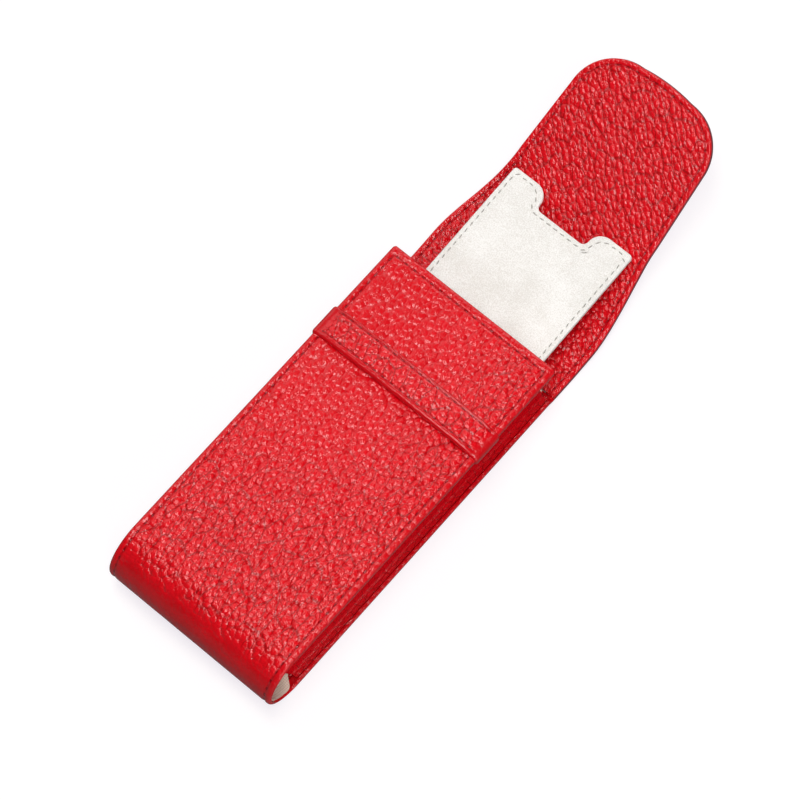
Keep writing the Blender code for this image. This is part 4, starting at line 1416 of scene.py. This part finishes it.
def sewn_piece(name, rows, thread):
    """One object from several sewn rows; each row is its places, its up directions and its count."""
    bm = bmesh.new()
    for seed, (places, ups, count) in enumerate(rows):
        bm.from_mesh(stitch_row(places, ups, count, thread, seed))
    mesh = bpy.data.meshes.new(name)
    bm.to_mesh(mesh)
    bm.free()
    made = weld(name, mesh, thread, sharp_angle=180)
    made["stitches"] = sum(row[2] for row in rows)
    return made


# %% [markdown]
# The hide's stitch row is split where the body that carries it changes, and left out in the bend, where
# there is nothing under the leather to sew to. Stitches keep step with the needle holes of the finish.

# %% Stitches of the hide
def hide_rows(first_run, last_run, depth, flip):
    """The parts of the hide's stitch row whose runs lie in this range."""
    stops = np.arange(0.0, seam_along[-1], STITCH_PITCH)
    runs = np.interp(stops, seam_along, whole_seam[:, 1])
    inside = (runs >= first_run) & (runs < last_run)
    rows = []
    for group in np.split(np.arange(len(stops)), np.flatnonzero(np.diff(inside.astype(int))) + 1):
        if not inside[group[0]] or len(group) < 2:
            continue
        along = np.linspace(stops[group[0]], stops[group[-1]], 4 * (len(group) - 1) + 1)
        x, run = points_at(along, whole_seam, seam_along).T
        ups = outward(run) * (-1.0 if flip else 1.0)
        rows.append((lay(x, run, depth), ups, len(group)))
    return rows


panel_rows = hide_rows(FRONT_END, -PANEL_RUN - BEND_RUN + 0.001, THREAD_SINK, False)
panel_rows += hide_rows(-PANEL_RUN - 0.001, 0.0, THREAD_SINK, False)
panel_stitches = sewn_piece("panel_stitches", panel_rows, red_thread)
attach(panel_stitches, "pouch")
for number, (start, end) in enumerate(zip((0.0, *SPAN_ENDS), (*SPAN_ENDS, 1.0))):
    rows = hide_rows(start, end, THREAD_SINK, False)
    rows += hide_rows(start, end, FLAP_THICKNESS - THREAD_SINK, True)
    piece = sewn_piece("flap_stitches_" + str(number), rows, red_thread)
    blend_at(piece)
print("Panel stitches:", panel_stitches["stitches"])

# %% [markdown]
# The band and the card are each sewn round in one closed row, which starts and ends at the same place.
# The band's row follows its swell over the lining; the card's rows lie on both of its tilted skins.

# %% Stitches of the band and the card
def loop_rows(path, along, pitch, raise_to):
    """A closed row along a flat path; raise_to gives each point its place and its up direction."""
    count = round(along[-1] / pitch)
    stops = np.linspace(0.0, along[-1] * (1 - 1 / count), 4 * count)
    places, ups = raise_to(points_at(stops, path, along))
    return [(places, ups, count)]


def on_band(flat):
    x, y = flat.T
    top = POUCH_THICKNESS + BAND_LEATHER - BAND_PRESSED + band_lift(x) + BAND_STEP * over_lining(x)
    return np.stack([x, y, top - THREAD_SINK], axis=1), np.tile((0.0, 0.0, 1.0), (len(x), 1))


band_rows = loop_rows(band_seam, band_along, STITCH_PITCH, on_band)
band_stitches = sewn_piece("band_stitches", band_rows, red_thread)
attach(band_stitches, "pouch")


def on_card(height):
    def raised(flat):
        places = [card_place @ Vector((x, y + CARD_LENGTH / 2, height)) for x, y in flat]
        up = card_place.to_3x3() @ Vector((0.0, 0.0, 1.0 if height > CARD_THICKNESS / 2 else -1.0))
        return np.array(places), np.tile(tuple(up), (len(places), 1))

    return raised


card_seam, card_along = loop_path(card_outline(CARD_SEAM_IN))
card_rows = []
for height in (CARD_THICKNESS - CARD_THREAD_SINK, CARD_THREAD_SINK):
    card_rows += loop_rows(card_seam, card_along, CARD_PITCH, on_card(height))
card_stitches = sewn_piece("divider_stitches", card_rows, white_thread)
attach(card_stitches, "divider")
print("Band and card stitches:", band_stitches["stitches"], card_stitches["stitches"])

# %% [markdown]
# The two stiff boards of the panels and the card's core are hidden, and their plain solids are right, so
# these CAD nodes stay and only get the board finish.

# %% Boards
for name in ("front_board", "back_board", "divider_board"):
    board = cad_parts[name]
    for slot in board.material_slots:
        slot.material = board_finish
print("Boards keep their solids")
